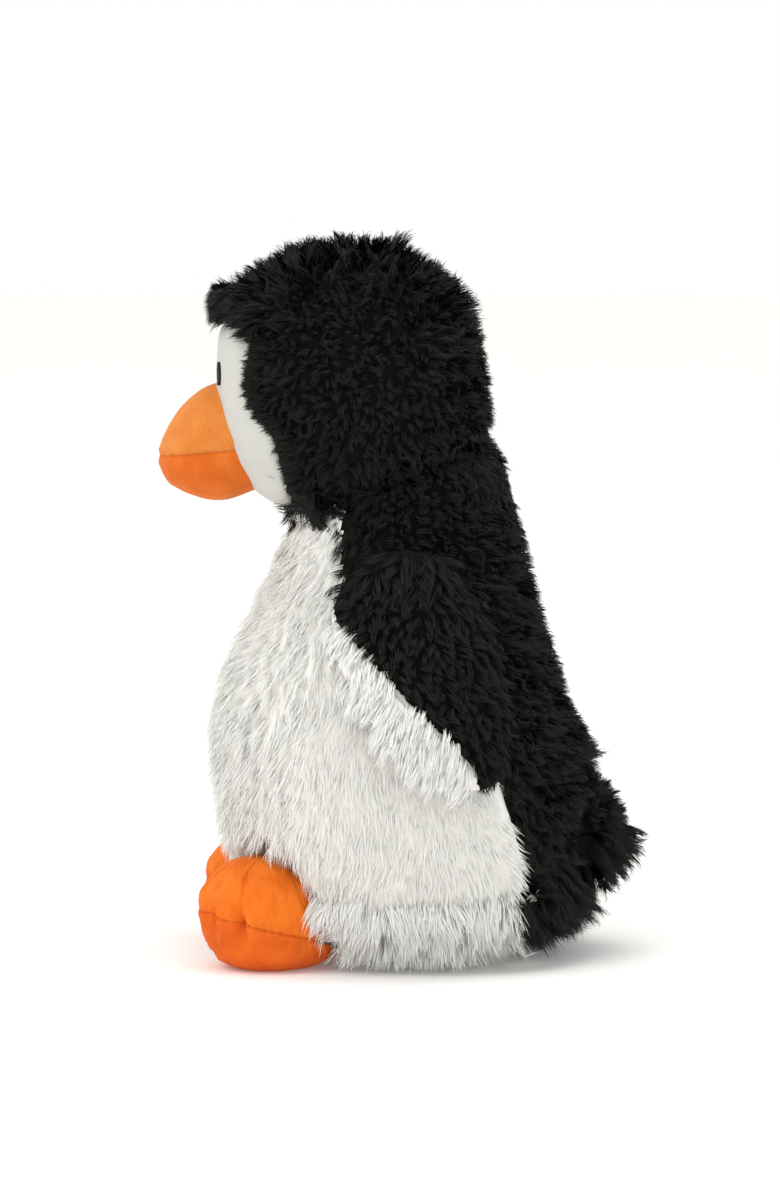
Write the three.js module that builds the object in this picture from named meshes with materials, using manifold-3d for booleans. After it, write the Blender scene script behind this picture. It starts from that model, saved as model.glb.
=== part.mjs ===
// A plush penguin, made the way a soft toy is sewn: fabric panels over separate fillings.
// Millimetres, +Z up. The beak points along -Y, the penguin's left side is +X, and the origin is on
// the floor under the middle of the toy. Long plush counts as its backing and its standing pile.
import * as THREE from "three";
import { ParametricGeometry } from "three/addons/geometries/ParametricGeometry.js";
import { mergeVertices } from "three/addons/utils/BufferGeometryUtils.js";
import Module from "manifold-3d";

const wasm = await Module();
wasm.setup();

// ---- Driving dimensions ----

const SEAM_GAP = 0.4; // between two pieces that are sewn together or lie on each other
const PLUSH = 8; // long plush, backing and pile
const VELOUR = 2.4; // short velour, backing and nap
const BASE_THICKNESS = 8;

// Level sections: front and back on the centre line, and half the width.
const TORSO = [
  { z: 0, front: -36, back: 50, half: 50 },
  { z: 12, front: -56, back: 76, half: 64 },
  { z: 30, front: -74, back: 92, half: 76 },
  { z: 52, front: -82, back: 96, half: 82 },
  { z: 78, front: -85, back: 93, half: 85 },
  { z: 105, front: -86, back: 85, half: 85 },
  { z: 130, front: -81, back: 77, half: 80 },
  { z: 155, front: -69, back: 69, half: 72 },
  { z: 180, front: -57, back: 63, half: 64 },
  { z: 205, front: -50, back: 57, half: 58 },
  { z: 235, front: -44, back: 48, half: 50 },
];
const HEAD = [
  { z: 196, front: -46, back: 44, half: 44 },
  { z: 206, front: -59, back: 46, half: 52 },
  { z: 218, front: -71, back: 47, half: 59 },
  { z: 235, front: -79, back: 47, half: 65 },
  { z: 255, front: -82, back: 45, half: 68 },
  { z: 275, front: -82, back: 42, half: 67 },
  { z: 292, front: -80, back: 38, half: 62 },
  { z: 307, front: -73, back: 31, half: 54 },
  { z: 319, front: -60, back: 19, half: 41 },
  { z: 327, front: -43, back: 4, half: 25 },
  { z: 330, front: -27, back: -12, half: 8 },
];
const SECTION_POWER = 2.25; // a little squarer than an ellipse
const TORSO_SIDES = 26;
const HEAD_SIDES = 26;
const TORSO_LEVELS = 10;
const HEAD_LEVELS = 10;

// The neck is a ball of filling. Torso and head part along two cones round its tilted axis.
const NECK = new THREE.Vector3(0, 3.2, 203.5);
const NECK_RADIUS = 46;
const NECK_GAP = 1.3; // round the ball, so that its flats turn freely
const NECK_TILT = THREE.MathUtils.degToRad(21.2);
const TORSO_RIM = THREE.MathUtils.degToRad(11.3);
const HEAD_RIM = THREE.MathUtils.degToRad(21.3);

// Seams in the side view, as [y, z] points, and the corners beyond them that close each region.
const FACE_SEAM = [
  [-72, 292], [-65, 283], [-66, 268], [-66, 255], [-60, 244], [-54, 233], [-51, 218], [-46, 200],
];
const BACK_SEAM = [[-24, 222], [-8, 178], [18, 138], [40, 102], [50, 76], [57, 50], [57, 30], [47, -2]];
const AHEAD_OF_FACE = [[-46, 150], [-160, 150], [-160, 292]];
const BEHIND_BELLY = [[130, -2], [130, 260], [-24, 260]];

// The beak: sections along its length, from the tip back into the face.
const BEAK = [
  { y: -106.5, top: 232, bottom: 221, half: 6.5 },
  { y: -103.5, top: 238.5, bottom: 216, half: 14.5 },
  { y: -98, top: 247.5, bottom: 212, half: 21 },
  { y: -90, top: 255.5, bottom: 208.5, half: 25 },
  { y: -80, top: 260, bottom: 207, half: 27.5 },
  { y: -60, top: 262, bottom: 213, half: 29 },
];
const MOUTH_HEIGHT = 227.5; // of the seam between the two beak panels, at the face
const MOUTH_SLOPE = 0.1; // rise per millimetre from the tip to the face
const BEAK_TIP = -106.5;

const EYE = { x: 21, z: 264.5, halfWidth: 4.2, halfHeight: 5.6, rise: 1.5 };

// The left flipper in the side view, lying on the torso: [y, z] points of its edge.
const FLIPPER_EDGE = [
  [4, 196], [-18, 192], [-30, 174], [-33, 154], [-23, 128], [-5, 104], [13, 88], [31, 81],
  [47, 83], [54, 99], [53, 120], [48, 146], [40, 170], [26, 190],
];
// The black outer panel stops short of the front edge, where the white lining wraps round it.
const BLACK_EDGE = [
  [4, 200], [-20, 194], [-33, 176], [-29, 161], [-14, 144], [6, 123], [23, 107], [38, 91],
  [56, 71], [67, 98], [58, 138], [48, 168], [32, 194],
];
const FLIPPER_MIDDLE = [14, 134];
const FLIPPER_THICKNESS = 15;
const FLIPPER_STAND_OFF = 1.2; // from the torso under it
const LINING_GAP = 0.6; // round the black edge
const FLIPPER_SIDES = 22;
// Shares of the flipper's outline and of its thickness that are hollow, and that the filling takes.
const FLIPPER_HOLLOW = { outline: 0.8, thickness: 0.4 };
const FLIPPER_FILLING = { outline: 0.78, thickness: 0.34 };

// A foot: a thick pillow in plan, its toes forward and turned out.
const FOOT = { x: 43, y: -57, halfWidth: 28, halfLength: 31.5, top: 51, seamFront: 26.5, seamBack: 12 };
const FOOT_SLOPE = 8; // how much higher the foot is at the toes
const FOOT_POWER = 2.6; // fullness of the pillow
const SOLE_FLAT = 2; // how far below the floor the round sole would go, where the floor flattens it
const FOOT_SPLAY = THREE.MathUtils.degToRad(10);
const FOOT_HINGE_Y = -31;
const FOOT_SWING = THREE.MathUtils.degToRad(10); // toes up, that the torso leaves room for
const FOOT_ROOM = 4; // between the torso and the foot all round
const TOE_DEPTH = 0.06;
const TOE_WAVES = 9;

const TAIL = { y: 76, z: 57.5, halfWidth: 37, halfLength: 31, halfHeight: 30 };
const TAIL_ROOM = 1.8; // between the torso and the tail all round

const POUCH = { y: 9, halfWidth: 37, halfLength: 29, height: 40 };
const LABEL = { x: 33.5, y: 56.5, z: 8.6, width: 20, length: 12, thickness: 0.8, drop: 3 };

const BEYOND = 300; // further out than any part of the toy

// ---- Helpers ----

const FABRICS = {
  black_plush: { color: 0x1b1b1f, roughness: 0.9 },
  white_plush: { color: 0xe4e2da, roughness: 0.92 },
  face_velour: { color: 0xe9e8e3, roughness: 0.9 },
  orange_velour: { color: 0xee7424, roughness: 0.85 },
  eye_thread: { color: 0x0c0c0e, roughness: 0.45 },
  fibre_filling: { color: 0xf3f1ea, roughness: 0.95 },
  grain_cotton: { color: 0xd8ccb0, roughness: 0.9 },
  label_satin: { color: 0xf4f3f1, roughness: 0.5 },
};

const penguin = new THREE.Group();

// A closed three.js geometry as a solid that can be joined and cut, with its faces pointing out.
function solid(geometry) {
  geometry.deleteAttribute("normal");
  geometry.deleteAttribute("uv");
  const merged = mergeVertices(geometry, 1e-3);
  const corners = merged.index.array;
  const facing = (outwards) => {
    const triangles = [];
    for (let i = 0; i < corners.length; i += 3) {
      const [a, b, c] = corners.slice(i, i + 3);
      if (a !== b && b !== c && c !== a) triangles.push(a, outwards ? b : c, outwards ? c : b);
    }
    const mesh = { numProp: 3, vertProperties: merged.attributes.position.array };
    return new wasm.Manifold(new wasm.Mesh({ ...mesh, triVerts: new Uint32Array(triangles) }));
  };
  const made = facing(true);
  return made.volume() > 0 ? made : facing(false);
}

function addPiece(name, fabric, shape) {
  const mesh = shape.getMesh();
  const geometry = new THREE.BufferGeometry();
  geometry.setAttribute("position", new THREE.BufferAttribute(mesh.vertProperties, 3));
  geometry.setIndex(new THREE.BufferAttribute(mesh.triVerts, 1));
  geometry.computeVertexNormals();
  const material = new THREE.MeshStandardMaterial({ ...FABRICS[fabric], metalness: 0 });
  const piece = new THREE.Mesh(geometry, material);
  piece.name = name;
  penguin.add(piece);
}

const cutAll = (shape, cutters) => cutters.reduce((rest, cutter) => rest.subtract(cutter), shape);
const power = (value, exponent) => Math.sign(value) * Math.abs(value) ** exponent;

// A smooth outline through level sections: height in, section out.
function smoothSections(sections, key, names) {
  const places = new Float64Array(sections.map((section) => section[key]));
  const values = new Float64Array(sections.flatMap((section) => names.map((name) => section[name])));
  const curve = new THREE.CubicInterpolant(places, values, names.length);
  return (place) => {
    const section = curve.evaluate(place);
    return Object.fromEntries(names.map((name, i) => [name, section[i]]));
  };
}

const torsoAt = smoothSections(TORSO, "z", ["front", "back", "half"]);
const headAt = smoothSections(HEAD, "z", ["front", "back", "half"]);

// A closed body through rings, where ring(row, turn) is a point and both ends close on a middle point.
function ringBody(rings, sides, ring) {
  const rows = rings + 1;
  const surface = (turn, rise, target) => {
    const row = Math.round(rise * rows);
    const reach = row === 0 || row === rows ? 0 : 1;
    const level = THREE.MathUtils.clamp(row - 1, 0, rings - 1);
    target.copy(ring(level / (rings - 1), turn * 2 * Math.PI, reach));
  };
  return new ParametricGeometry(surface, sides, rows);
}

// A body through the level sections, drawn in by `inset` all round.
function levelBody(sections, sectionAt, rings, sides, inset) {
  const bottom = sections[0].z;
  const top = sections.at(-1).z;
  const keep = 1 - (2 * inset) / (top - bottom);
  return ringBody(rings, sides, (rise, turn, reach) => {
    const z = THREE.MathUtils.lerp(bottom, top, rise);
    const { front, back, half } = sectionAt(z);
    const halfLength = Math.max((back - front) / 2 - inset, 1);
    const halfWidth = Math.max(half - inset, 1);
    return new THREE.Vector3(
      reach * halfWidth * power(Math.cos(turn), 2 / SECTION_POWER),
      (front + back) / 2 + reach * halfLength * power(Math.sin(turn), 2 / SECTION_POWER),
      bottom + inset + (z - bottom) * keep,
    );
  });
}

// A lens over a closed outline: place(a, b, height) sets its points, with low and high as its faces.
function lens(outline, middle, sides, rings, low, high, place) {
  const rows = 2 * rings + 1;
  const surface = (turn, across, target) => {
    const row = Math.round(across * rows);
    const under = row > rings;
    const share = (under ? rows - row : row) / rings;
    const edge = outline(turn % 1);
    const a = THREE.MathUtils.lerp(middle[0], edge[0], share);
    const b = THREE.MathUtils.lerp(middle[1], edge[1], share);
    target.copy(place(a, b, (under ? low : high)(a, b, share)));
  };
  return new ParametricGeometry(surface, sides, rows);
}

// A closed outline through [a, b] points, as a function of the turn from 0 to 1.
function closedOutline(points) {
  const corners = points.map(([a, b]) => new THREE.Vector3(a, b, 0));
  const curve = new THREE.CatmullRomCurve3(corners, true, "centripetal");
  return (turn) => curve.getPoint(turn).toArray();
}

// A side view outline of [y, z] points, made solid across the whole width.
function sidePrism(shape, shift = 0) {
  const depth = 2 * BEYOND;
  const geometry = new THREE.ExtrudeGeometry(shape, { depth, bevelEnabled: false, curveSegments: 3 });
  const [x, y, z] = [0, 1, 2].map((axis) => new THREE.Vector3().setComponent(axis, 1));
  geometry.applyMatrix4(new THREE.Matrix4().makeBasis(y, z, x));
  return solid(geometry.translate(-depth / 2, shift, 0));
}

// A region bounded by a seam curve, and closed round `corners`.
function regionBeyond(seam, corners, shift) {
  const [first, ...rest] = seam.map(([y, z]) => new THREE.Vector2(y, z));
  const shape = new THREE.Shape().moveTo(first.x, first.y).splineThru(rest);
  corners.forEach(([y, z]) => shape.lineTo(y, z));
  return sidePrism(shape, shift);
}

function box(from, to) {
  const size = to.map((value, i) => value - from[i]);
  const middle = to.map((value, i) => (value + from[i]) / 2);
  return solid(new THREE.BoxGeometry(...size).translate(...middle));
}

const mirrored = (geometry, side) => (side > 0 ? geometry : geometry.clone().scale(-1, 1, 1));

// Half of the shape, on the side given, short of the middle seam.
function halfOf(shape, side) {
  const near = SEAM_GAP / 2;
  const [low, high] = side > 0 ? [near, BEYOND] : [-BEYOND, -near];
  return shape.intersect(box([low, -BEYOND, -BEYOND], [high, BEYOND, 2 * BEYOND]));
}

// ---- Neck ----

const neckBall = (grow) => solid(new THREE.SphereGeometry(NECK_RADIUS + grow, 24, 12).translate(...NECK));

// All that lies above a cone round the neck's axis.
function aboveRim(angle) {
  const profile = [[0, 0], [BEYOND, BEYOND * Math.tan(angle)], [BEYOND, BEYOND], [0, BEYOND]];
  const cone = new THREE.LatheGeometry(profile.map(([r, h]) => new THREE.Vector2(r, h)), 24);
  return solid(cone.rotateX(Math.PI / 2 + NECK_TILT).translate(...NECK));
}

function addNeck() {
  addPiece("neck_stuffing", "fibre_filling", neckBall(0));
}

// ---- Feet ----

function footOutline(scale) {
  return (turn) => {
    const angle = turn * 2 * Math.PI;
    const forward = Math.max(Math.sin(angle), 0);
    const toes = 1 + TOE_DEPTH * forward * Math.cos(TOE_WAVES * (angle - Math.PI / 2));
    const across = scale * FOOT.halfWidth * toes * Math.cos(angle);
    const along = scale * FOOT.halfLength * toes * Math.sin(angle);
    return [across, along];
  };
}

// Heights of the foot's seam and of its top, `along` from heel to toes.
const alongFoot = (along, low, high) => {
  return THREE.MathUtils.mapLinear(along, -FOOT.halfLength, FOOT.halfLength, low, high);
};
const footSeam = (along) => alongFoot(along, FOOT.seamBack, FOOT.seamFront);
const footTop = (along) => alongFoot(along, FOOT.top - FOOT_SLOPE, FOOT.top);
const pillowRound = (share) => Math.sqrt(1 - Math.min(share, 1) ** FOOT_POWER);

// One foot between its faces, which are drawn in by `inset`: part is "upper", "sole" or "whole".
function footGeometry(part, inset, side, sides = 28, rings = 4) {
  const scale = 1 - inset / FOOT.halfWidth;
  const edge = part === "whole" ? 0 : SEAM_GAP / 2;
  const upperFace = (a, b, share) => {
    return footSeam(b) + edge + (footTop(b) - inset - footSeam(b)) * pillowRound(share);
  };
  const soleFace = (a, b, share) => {
    const face = footSeam(b) - edge - (footSeam(b) + SOLE_FLAT) * pillowRound(share);
    return Math.min(Math.max(face, 0) + inset, footSeam(b) - edge);
  };
  const seamFace = (sign) => (a, b) => footSeam(b) + sign * edge;
  const low = part === "upper" ? seamFace(1) : soleFace;
  const high = part === "sole" ? seamFace(-1) : upperFace;
  const place = (a, b, height) => new THREE.Vector3(a, -b, height);
  const pillow = lens(footOutline(scale), [0, 0], sides, rings, low, high, place);
  return mirrored(pillow.rotateZ(FOOT_SPLAY).translate(FOOT.x, FOOT.y, 0), side);
}

// The space that both feet need as their toes rise: open below, and higher towards the toes.
function footRooms() {
  const scale = 1 + FOOT_ROOM / FOOT.halfWidth;
  const lift = (along) => Math.max(FOOT_HINGE_Y - FOOT.y + along, 0) * Math.sin(FOOT_SWING);
  const low = () => -FOOT_ROOM;
  const high = (a, b, share) => {
    return footSeam(b) + lift(b) + (FOOT.top + FOOT_ROOM - footSeam(b)) * pillowRound(share);
  };
  const place = (a, b, height) => new THREE.Vector3(a, -b, height);
  const room = lens(footOutline(scale), [0, 0], 20, 3, low, high, place);
  room.rotateZ(FOOT_SPLAY).translate(FOOT.x, FOOT.y, 0);
  return [1, -1].map((side) => solid(mirrored(room, side)));
}

function addFoot(name, side) {
  const room = solid(footGeometry("whole", VELOUR, side));
  addPiece("foot_upper_" + name, "orange_velour", solid(footGeometry("upper", 0, side)).subtract(room));
  addPiece("foot_sole_" + name, "orange_velour", solid(footGeometry("sole", 0, side)).subtract(room));
  addPiece("foot_stuffing_" + name, "fibre_filling", solid(footGeometry("whole", VELOUR + SEAM_GAP, side)));
}

// ---- Tail ----

function tailGeometry(inset) {
  const ball = new THREE.SphereGeometry(1, 18, 10);
  ball.scale(TAIL.halfWidth - inset, TAIL.halfLength - inset, TAIL.halfHeight - inset);
  return ball.translate(0, TAIL.y, TAIL.z);
}

function addTail() {
  const shell = solid(tailGeometry(0)).subtract(solid(tailGeometry(PLUSH)));
  const above = box([-BEYOND, -BEYOND, TAIL.z + SEAM_GAP / 2], [BEYOND, BEYOND, BEYOND]);
  const below = box([-BEYOND, -BEYOND, -BEYOND], [BEYOND, BEYOND, TAIL.z - SEAM_GAP / 2]);
  addPiece("tail_upper", "black_plush", shell.intersect(above));
  addPiece("tail_lower", "black_plush", shell.intersect(below));
  addPiece("tail_stuffing", "fibre_filling", solid(tailGeometry(PLUSH + SEAM_GAP)));
  return solid(tailGeometry(-TAIL_ROOM));
}

// ---- Torso ----

// The pouch is a flat-bottomed dome on the base.
function pouchGeometry(grow) {
  const rings = 6;
  return ringBody(rings, 20, (rise, turn, reach) => {
    const width = reach * Math.sqrt(1 - rise ** 2.4);
    return new THREE.Vector3(
      (POUCH.halfWidth + grow) * width * Math.cos(turn),
      POUCH.y + (POUCH.halfLength + grow) * width * Math.sin(turn),
      BASE_THICKNESS + SEAM_GAP - grow + (POUCH.height + 2 * grow) * rise,
    );
  });
}

function addTorso(tailRoom) {
  const outer = solid(levelBody(TORSO, torsoAt, TORSO_LEVELS, TORSO_SIDES, 0));
  const inner = solid(levelBody(TORSO, torsoAt, TORSO_LEVELS, TORSO_SIDES, PLUSH));
  const filling = solid(levelBody(TORSO, torsoAt, TORSO_LEVELS, TORSO_SIDES, PLUSH + SEAM_GAP));
  const rooms = [aboveRim(TORSO_RIM), neckBall(NECK_GAP), tailRoom, ...footRooms()];

  const floorSlab = box([-BEYOND, -BEYOND, -BEYOND], [BEYOND, BEYOND, BASE_THICKNESS - SEAM_GAP]);
  const aboveBase = box([-BEYOND, -BEYOND, BASE_THICKNESS], [BEYOND, BEYOND, BEYOND]);
  addPiece("base_panel", "black_plush", cutAll(outer.intersect(floorSlab), rooms));

  const shell = cutAll(outer.intersect(aboveBase).subtract(inner), rooms);
  const back = shell.intersect(regionBeyond(BACK_SEAM, BEHIND_BELLY, SEAM_GAP / 2));
  const notBelly = regionBeyond(BACK_SEAM, BEHIND_BELLY, -SEAM_GAP / 2);
  addPiece("belly_panel", "white_plush", shell.subtract(notBelly));
  addPiece("back_left", "black_plush", halfOf(back, 1));
  addPiece("back_right", "black_plush", halfOf(back, -1));

  addPiece("grain_pouch", "grain_cotton", solid(pouchGeometry(0)));
  addPiece("body_stuffing", "fibre_filling", cutAll(filling, [...rooms, solid(pouchGeometry(SEAM_GAP))]));
}

// ---- Head ----

function beakGeometry(inset) {
  const sectionAt = smoothSections(BEAK, "y", ["top", "bottom", "half"]);
  const root = BEAK.at(-1).y;
  return ringBody(7, 20, (along, turn, reach) => {
    const y = THREE.MathUtils.lerp(root, BEAK_TIP, Math.sin((along * Math.PI) / 2));
    const { top, bottom, half } = sectionAt(y);
    const halfHeight = Math.max((top - bottom) / 2 - inset, 0.5);
    const halfWidth = Math.max(half - inset, 0.5);
    return new THREE.Vector3(
      reach * halfWidth * Math.cos(turn),
      Math.max(y, BEAK_TIP + inset),
      (top + bottom) / 2 + reach * halfHeight * Math.sin(turn),
    );
  });
}

// The half of the beak over or under its mouth seam.
function beakSide(sign) {
  const [back, front, far] = [-50, -120, 60];
  const seamAt = (y) => MOUTH_HEIGHT + MOUTH_SLOPE * (y - BEAK_TIP) + (sign * SEAM_GAP) / 2;
  const shape = new THREE.Shape().moveTo(back, seamAt(back)).lineTo(front, seamAt(front));
  shape.lineTo(front, seamAt(front) + sign * far).lineTo(back, seamAt(back) + sign * far);
  return sidePrism(shape);
}

function eyeGeometry(side) {
  const outline = (turn) => {
    const angle = turn * 2 * Math.PI;
    return [EYE.x + EYE.halfWidth * Math.cos(angle), EYE.z + EYE.halfHeight * Math.sin(angle)];
  };
  const faceAt = (x, z) => {
    const { front, back, half } = headAt(z);
    const reach = (1 - (x / half) ** SECTION_POWER) ** (1 / SECTION_POWER);
    return (front + back) / 2 - ((back - front) / 2) * reach;
  };
  const low = (x, z) => faceAt(x, z) - SEAM_GAP;
  const high = (x, z, share) => low(x, z) - EYE.rise * Math.sqrt(1 - Math.min(share, 1) ** 4) - 0.001;
  const place = (x, z, y) => new THREE.Vector3(x, y, z);
  return mirrored(lens(outline, [EYE.x, EYE.z], 14, 2, low, high, place), side);
}

function addHead() {
  const outer = solid(levelBody(HEAD, headAt, HEAD_LEVELS, HEAD_SIDES, 0));
  const inner = solid(levelBody(HEAD, headAt, HEAD_LEVELS, HEAD_SIDES, PLUSH));
  const filling = solid(levelBody(HEAD, headAt, HEAD_LEVELS, HEAD_SIDES, PLUSH + SEAM_GAP));
  const kept = aboveRim(HEAD_RIM).subtract(neckBall(NECK_GAP));

  const shell = outer.subtract(inner).intersect(kept);
  const sides = shell.subtract(regionBeyond(FACE_SEAM, AHEAD_OF_FACE, SEAM_GAP / 2));
  const face = shell.intersect(regionBeyond(FACE_SEAM, AHEAD_OF_FACE, -SEAM_GAP / 2));
  addPiece("face_panel", "face_velour", face);
  addPiece("head_side_left", "black_plush", halfOf(sides, 1));
  addPiece("head_side_right", "black_plush", halfOf(sides, -1));
  addPiece("head_stuffing", "fibre_filling", filling.intersect(kept));

  const faceRoom = solid(levelBody(HEAD, headAt, HEAD_LEVELS, HEAD_SIDES, -SEAM_GAP));
  const room = solid(beakGeometry(VELOUR));
  const beak = solid(beakGeometry(0)).subtract(room).subtract(faceRoom);
  addPiece("beak_upper", "orange_velour", beak.intersect(beakSide(1)));
  addPiece("beak_lower", "orange_velour", beak.intersect(beakSide(-1)));
  addPiece("beak_stuffing", "fibre_filling", solid(beakGeometry(VELOUR + SEAM_GAP)).subtract(faceRoom));
  addPiece("eye_left", "eye_thread", solid(eyeGeometry(1)));
  addPiece("eye_right", "eye_thread", solid(eyeGeometry(-1)));
}

// ---- Flippers ----

// A flipper lies on the torso's side. `low` and `high` give its faces off the middle of its
// thickness, from half the thickness there.
function flipperGeometry(scale, low, high, side) {
  const edge = closedOutline(FLIPPER_EDGE);
  const outline = (turn) => edge(turn).map((value, i) => {
    return i > 1 ? value : THREE.MathUtils.lerp(FLIPPER_MIDDLE[i], value, scale);
  });
  const skinAt = (y, z) => {
    const { front, back, half } = torsoAt(z);
    const away = Math.abs((y - (front + back) / 2) / ((back - front) / 2));
    return half * (1 - Math.min(away, 0.98) ** SECTION_POWER) ** (1 / SECTION_POWER);
  };
  const halfThickness = FLIPPER_THICKNESS / 2;
  const bulge = (share) => halfThickness * (0.25 + 0.75 * Math.sqrt(1 - Math.min(share * scale, 1) ** 2.5));
  const face = (rise) => (y, z, share) => {
    return skinAt(y, z) + FLIPPER_STAND_OFF + halfThickness + rise(bulge(share));
  };
  const place = (y, z, x) => new THREE.Vector3(x, y, z);
  return mirrored(lens(outline, FLIPPER_MIDDLE, FLIPPER_SIDES, 4, face(low), face(high), place), side);
}

// The zone that the black panel takes: over the middle layer, inside the black edge. Panel and
// lining part along it, half a gap to each side.
function blackZone(sign, side) {
  const points = BLACK_EDGE.map(([y, z]) => {
    const out = new THREE.Vector2(y - FLIPPER_MIDDLE[0], z - FLIPPER_MIDDLE[1]);
    out.setLength(out.length() + sign * LINING_GAP);
    return new THREE.Vector2(FLIPPER_MIDDLE[0] + out.x, FLIPPER_MIDDLE[1] + out.y);
  });
  const shape = new THREE.Shape().moveTo(points[0].x, points[0].y);
  shape.splineThru([...points.slice(1), points[0]]);
  const floor = () => (-sign * SEAM_GAP) / 2;
  const above = () => FLIPPER_THICKNESS * 2;
  return sidePrism(shape).intersect(solid(flipperGeometry(1.15, floor, above, side)));
}

function addFlipper(name, side) {
  const flat = (share) => (half) => share * half;
  const whole = solid(flipperGeometry(1, flat(-1), flat(1), side));
  const pad = ({ outline, thickness }) => {
    return solid(flipperGeometry(outline, flat(-thickness), flat(thickness), side));
  };
  const room = pad(FLIPPER_HOLLOW);
  const outer = whole.intersect(blackZone(-1, side)).subtract(room);
  const inner = whole.subtract(blackZone(1, side)).subtract(room);
  addPiece("flipper_outer_" + name, "black_plush", outer);
  addPiece("flipper_inner_" + name, "white_plush", inner);
  addPiece("flipper_stuffing_" + name, "fibre_filling", pad(FLIPPER_FILLING));
}

// ---- Label ----

// A blank satin tag, sewn into the base seam and curving down to its free end.
function addLabel() {
  const { length, thickness, drop, width } = LABEL;
  const curl = new THREE.Shape().moveTo(0, 0);
  curl.quadraticCurveTo(length * 0.6, 0, length, -drop).lineTo(length, -drop - thickness);
  curl.quadraticCurveTo(length * 0.6, -thickness, 0, -thickness);
  const strip = new THREE.ExtrudeGeometry(curl, { depth: width, bevelEnabled: false, curveSegments: 6 });
  strip.translate(0, 0, -width / 2).rotateX(Math.PI / 2);
  const facing = Math.atan2(LABEL.y, LABEL.x);
  strip.rotateZ(facing).translate(LABEL.x, LABEL.y, LABEL.z);
  addPiece("label", "label_satin", solid(strip));
}

addNeck();
addHead();
addTorso(addTail());
[["left", 1], ["right", -1]].forEach(([name, side]) => {
  addFoot(name, side);
  addFlipper(name, side);
});
addLabel();

export default penguin;
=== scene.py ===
"""The looks of the plush penguin: long pile, velour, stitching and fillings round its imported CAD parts.

Lengths are millimetres until a mesh is made. Every hair is a thin ribbon of faces, so the pile goes
wherever the piece goes.
"""

import math

import bpy
import numpy as np
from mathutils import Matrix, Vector, noise
from mathutils.bvhtree import BVHTree
from mathutils.kdtree import KDTree


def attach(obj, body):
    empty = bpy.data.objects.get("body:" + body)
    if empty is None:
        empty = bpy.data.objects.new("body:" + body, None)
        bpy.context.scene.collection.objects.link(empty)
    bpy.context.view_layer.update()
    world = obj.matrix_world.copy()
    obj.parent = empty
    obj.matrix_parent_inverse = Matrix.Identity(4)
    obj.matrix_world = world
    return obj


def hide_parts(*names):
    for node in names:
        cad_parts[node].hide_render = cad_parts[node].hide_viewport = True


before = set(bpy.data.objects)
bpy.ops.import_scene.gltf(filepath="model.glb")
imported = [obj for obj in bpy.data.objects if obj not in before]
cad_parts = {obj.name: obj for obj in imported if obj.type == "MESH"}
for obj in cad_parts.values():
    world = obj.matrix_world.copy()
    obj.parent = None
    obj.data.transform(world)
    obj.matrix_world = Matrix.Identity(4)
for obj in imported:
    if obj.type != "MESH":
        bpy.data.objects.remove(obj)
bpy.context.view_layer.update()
random = np.random.default_rng(41)

MM = 0.001
MAP = "OFBake"
DOWN = np.array([0.0, 0.0, -1.0])
SIDES = {"left": 1, "right": -1}

# How each kind of pile grows. Lengths in mm; gather is how far a tuft's hairs close up at the tip.
BLACK_PILE = {
    "spacing": 2.6, "count": 15, "length": 10.0, "radius": 2.0, "gather": 0.66, "stray": 0.55,
    "shortest": 0.6, "width": 0.39, "swirl": 66, "patch": 11.0, "rise": (0.84, 1.16), "softness": 1.0,
    "roll": 0.6,
}
HEAD_PILE = {**BLACK_PILE, "spacing": 2.42, "radius": 1.8, "width": 0.35, "swirl": 105, "patch": 9.5}
BROW_PILE = {
    **BLACK_PILE, "count": 16, "length": 12.5, "stray": 0.8, "width": 0.35, "swirl": 70, "patch": 7.0,
}
FLIPPER_PILE = {**BLACK_PILE, "length": 9.6, "swirl": 40}
SHOULDER_PILE = {**BLACK_PILE, "length": 14.0, "radius": 2.4, "swirl": 50}
FRINGE_PILE = {**BLACK_PILE, "count": 12, "length": 8.6, "radius": 1.6, "gather": 0.55, "swirl": 30}
RUMP_PILE = {**BLACK_PILE, "length": 11.0, "width": 0.35, "swirl": 75, "patch": 8.0}
WHITE_PILE = {
    "spacing": 3.1, "count": 20, "length": 16.0, "radius": 3.2, "gather": 0.12, "stray": 1.1,
    "shortest": 0.55, "width": 0.41, "swirl": 18, "patch": 15.0, "rise": (0.96, 1.1), "softness": 5.0,
    "roll": 0.32,
}
HEM_PILE = {**WHITE_PILE, "length": 17.0, "swirl": 22}
CHIN_PILE = {**BLACK_PILE, "count": 18, "length": 25.0, "radius": 2.4, "swirl": 30}
LINING_PILE = {
    "spacing": 3.0, "count": 16, "length": 13.0, "radius": 2.5, "gather": 0.35, "stray": 0.9,
    "shortest": 0.6, "width": 0.42, "swirl": 14, "patch": 17.0, "rise": (0.96, 1.1), "softness": 5.0,
    "roll": 0.32,
}
HAIR_STATIONS = np.array([0.0, 0.38, 0.72, 1.0])
HAIR_WIDTHS = np.array([1.0, 1.0, 0.72])
FLOOR_GAP = 0.4  # the lowest that a hair hangs
FAR_AWAY = 250.0  # outside the toy, where rays towards it start
PILE_HEIGHTS = (5.5, 9.5)  # the least and the most that the pile stands out
EDGE_STRIP = 6.0  # how far past a panel's free edge its pile still grows

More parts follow.
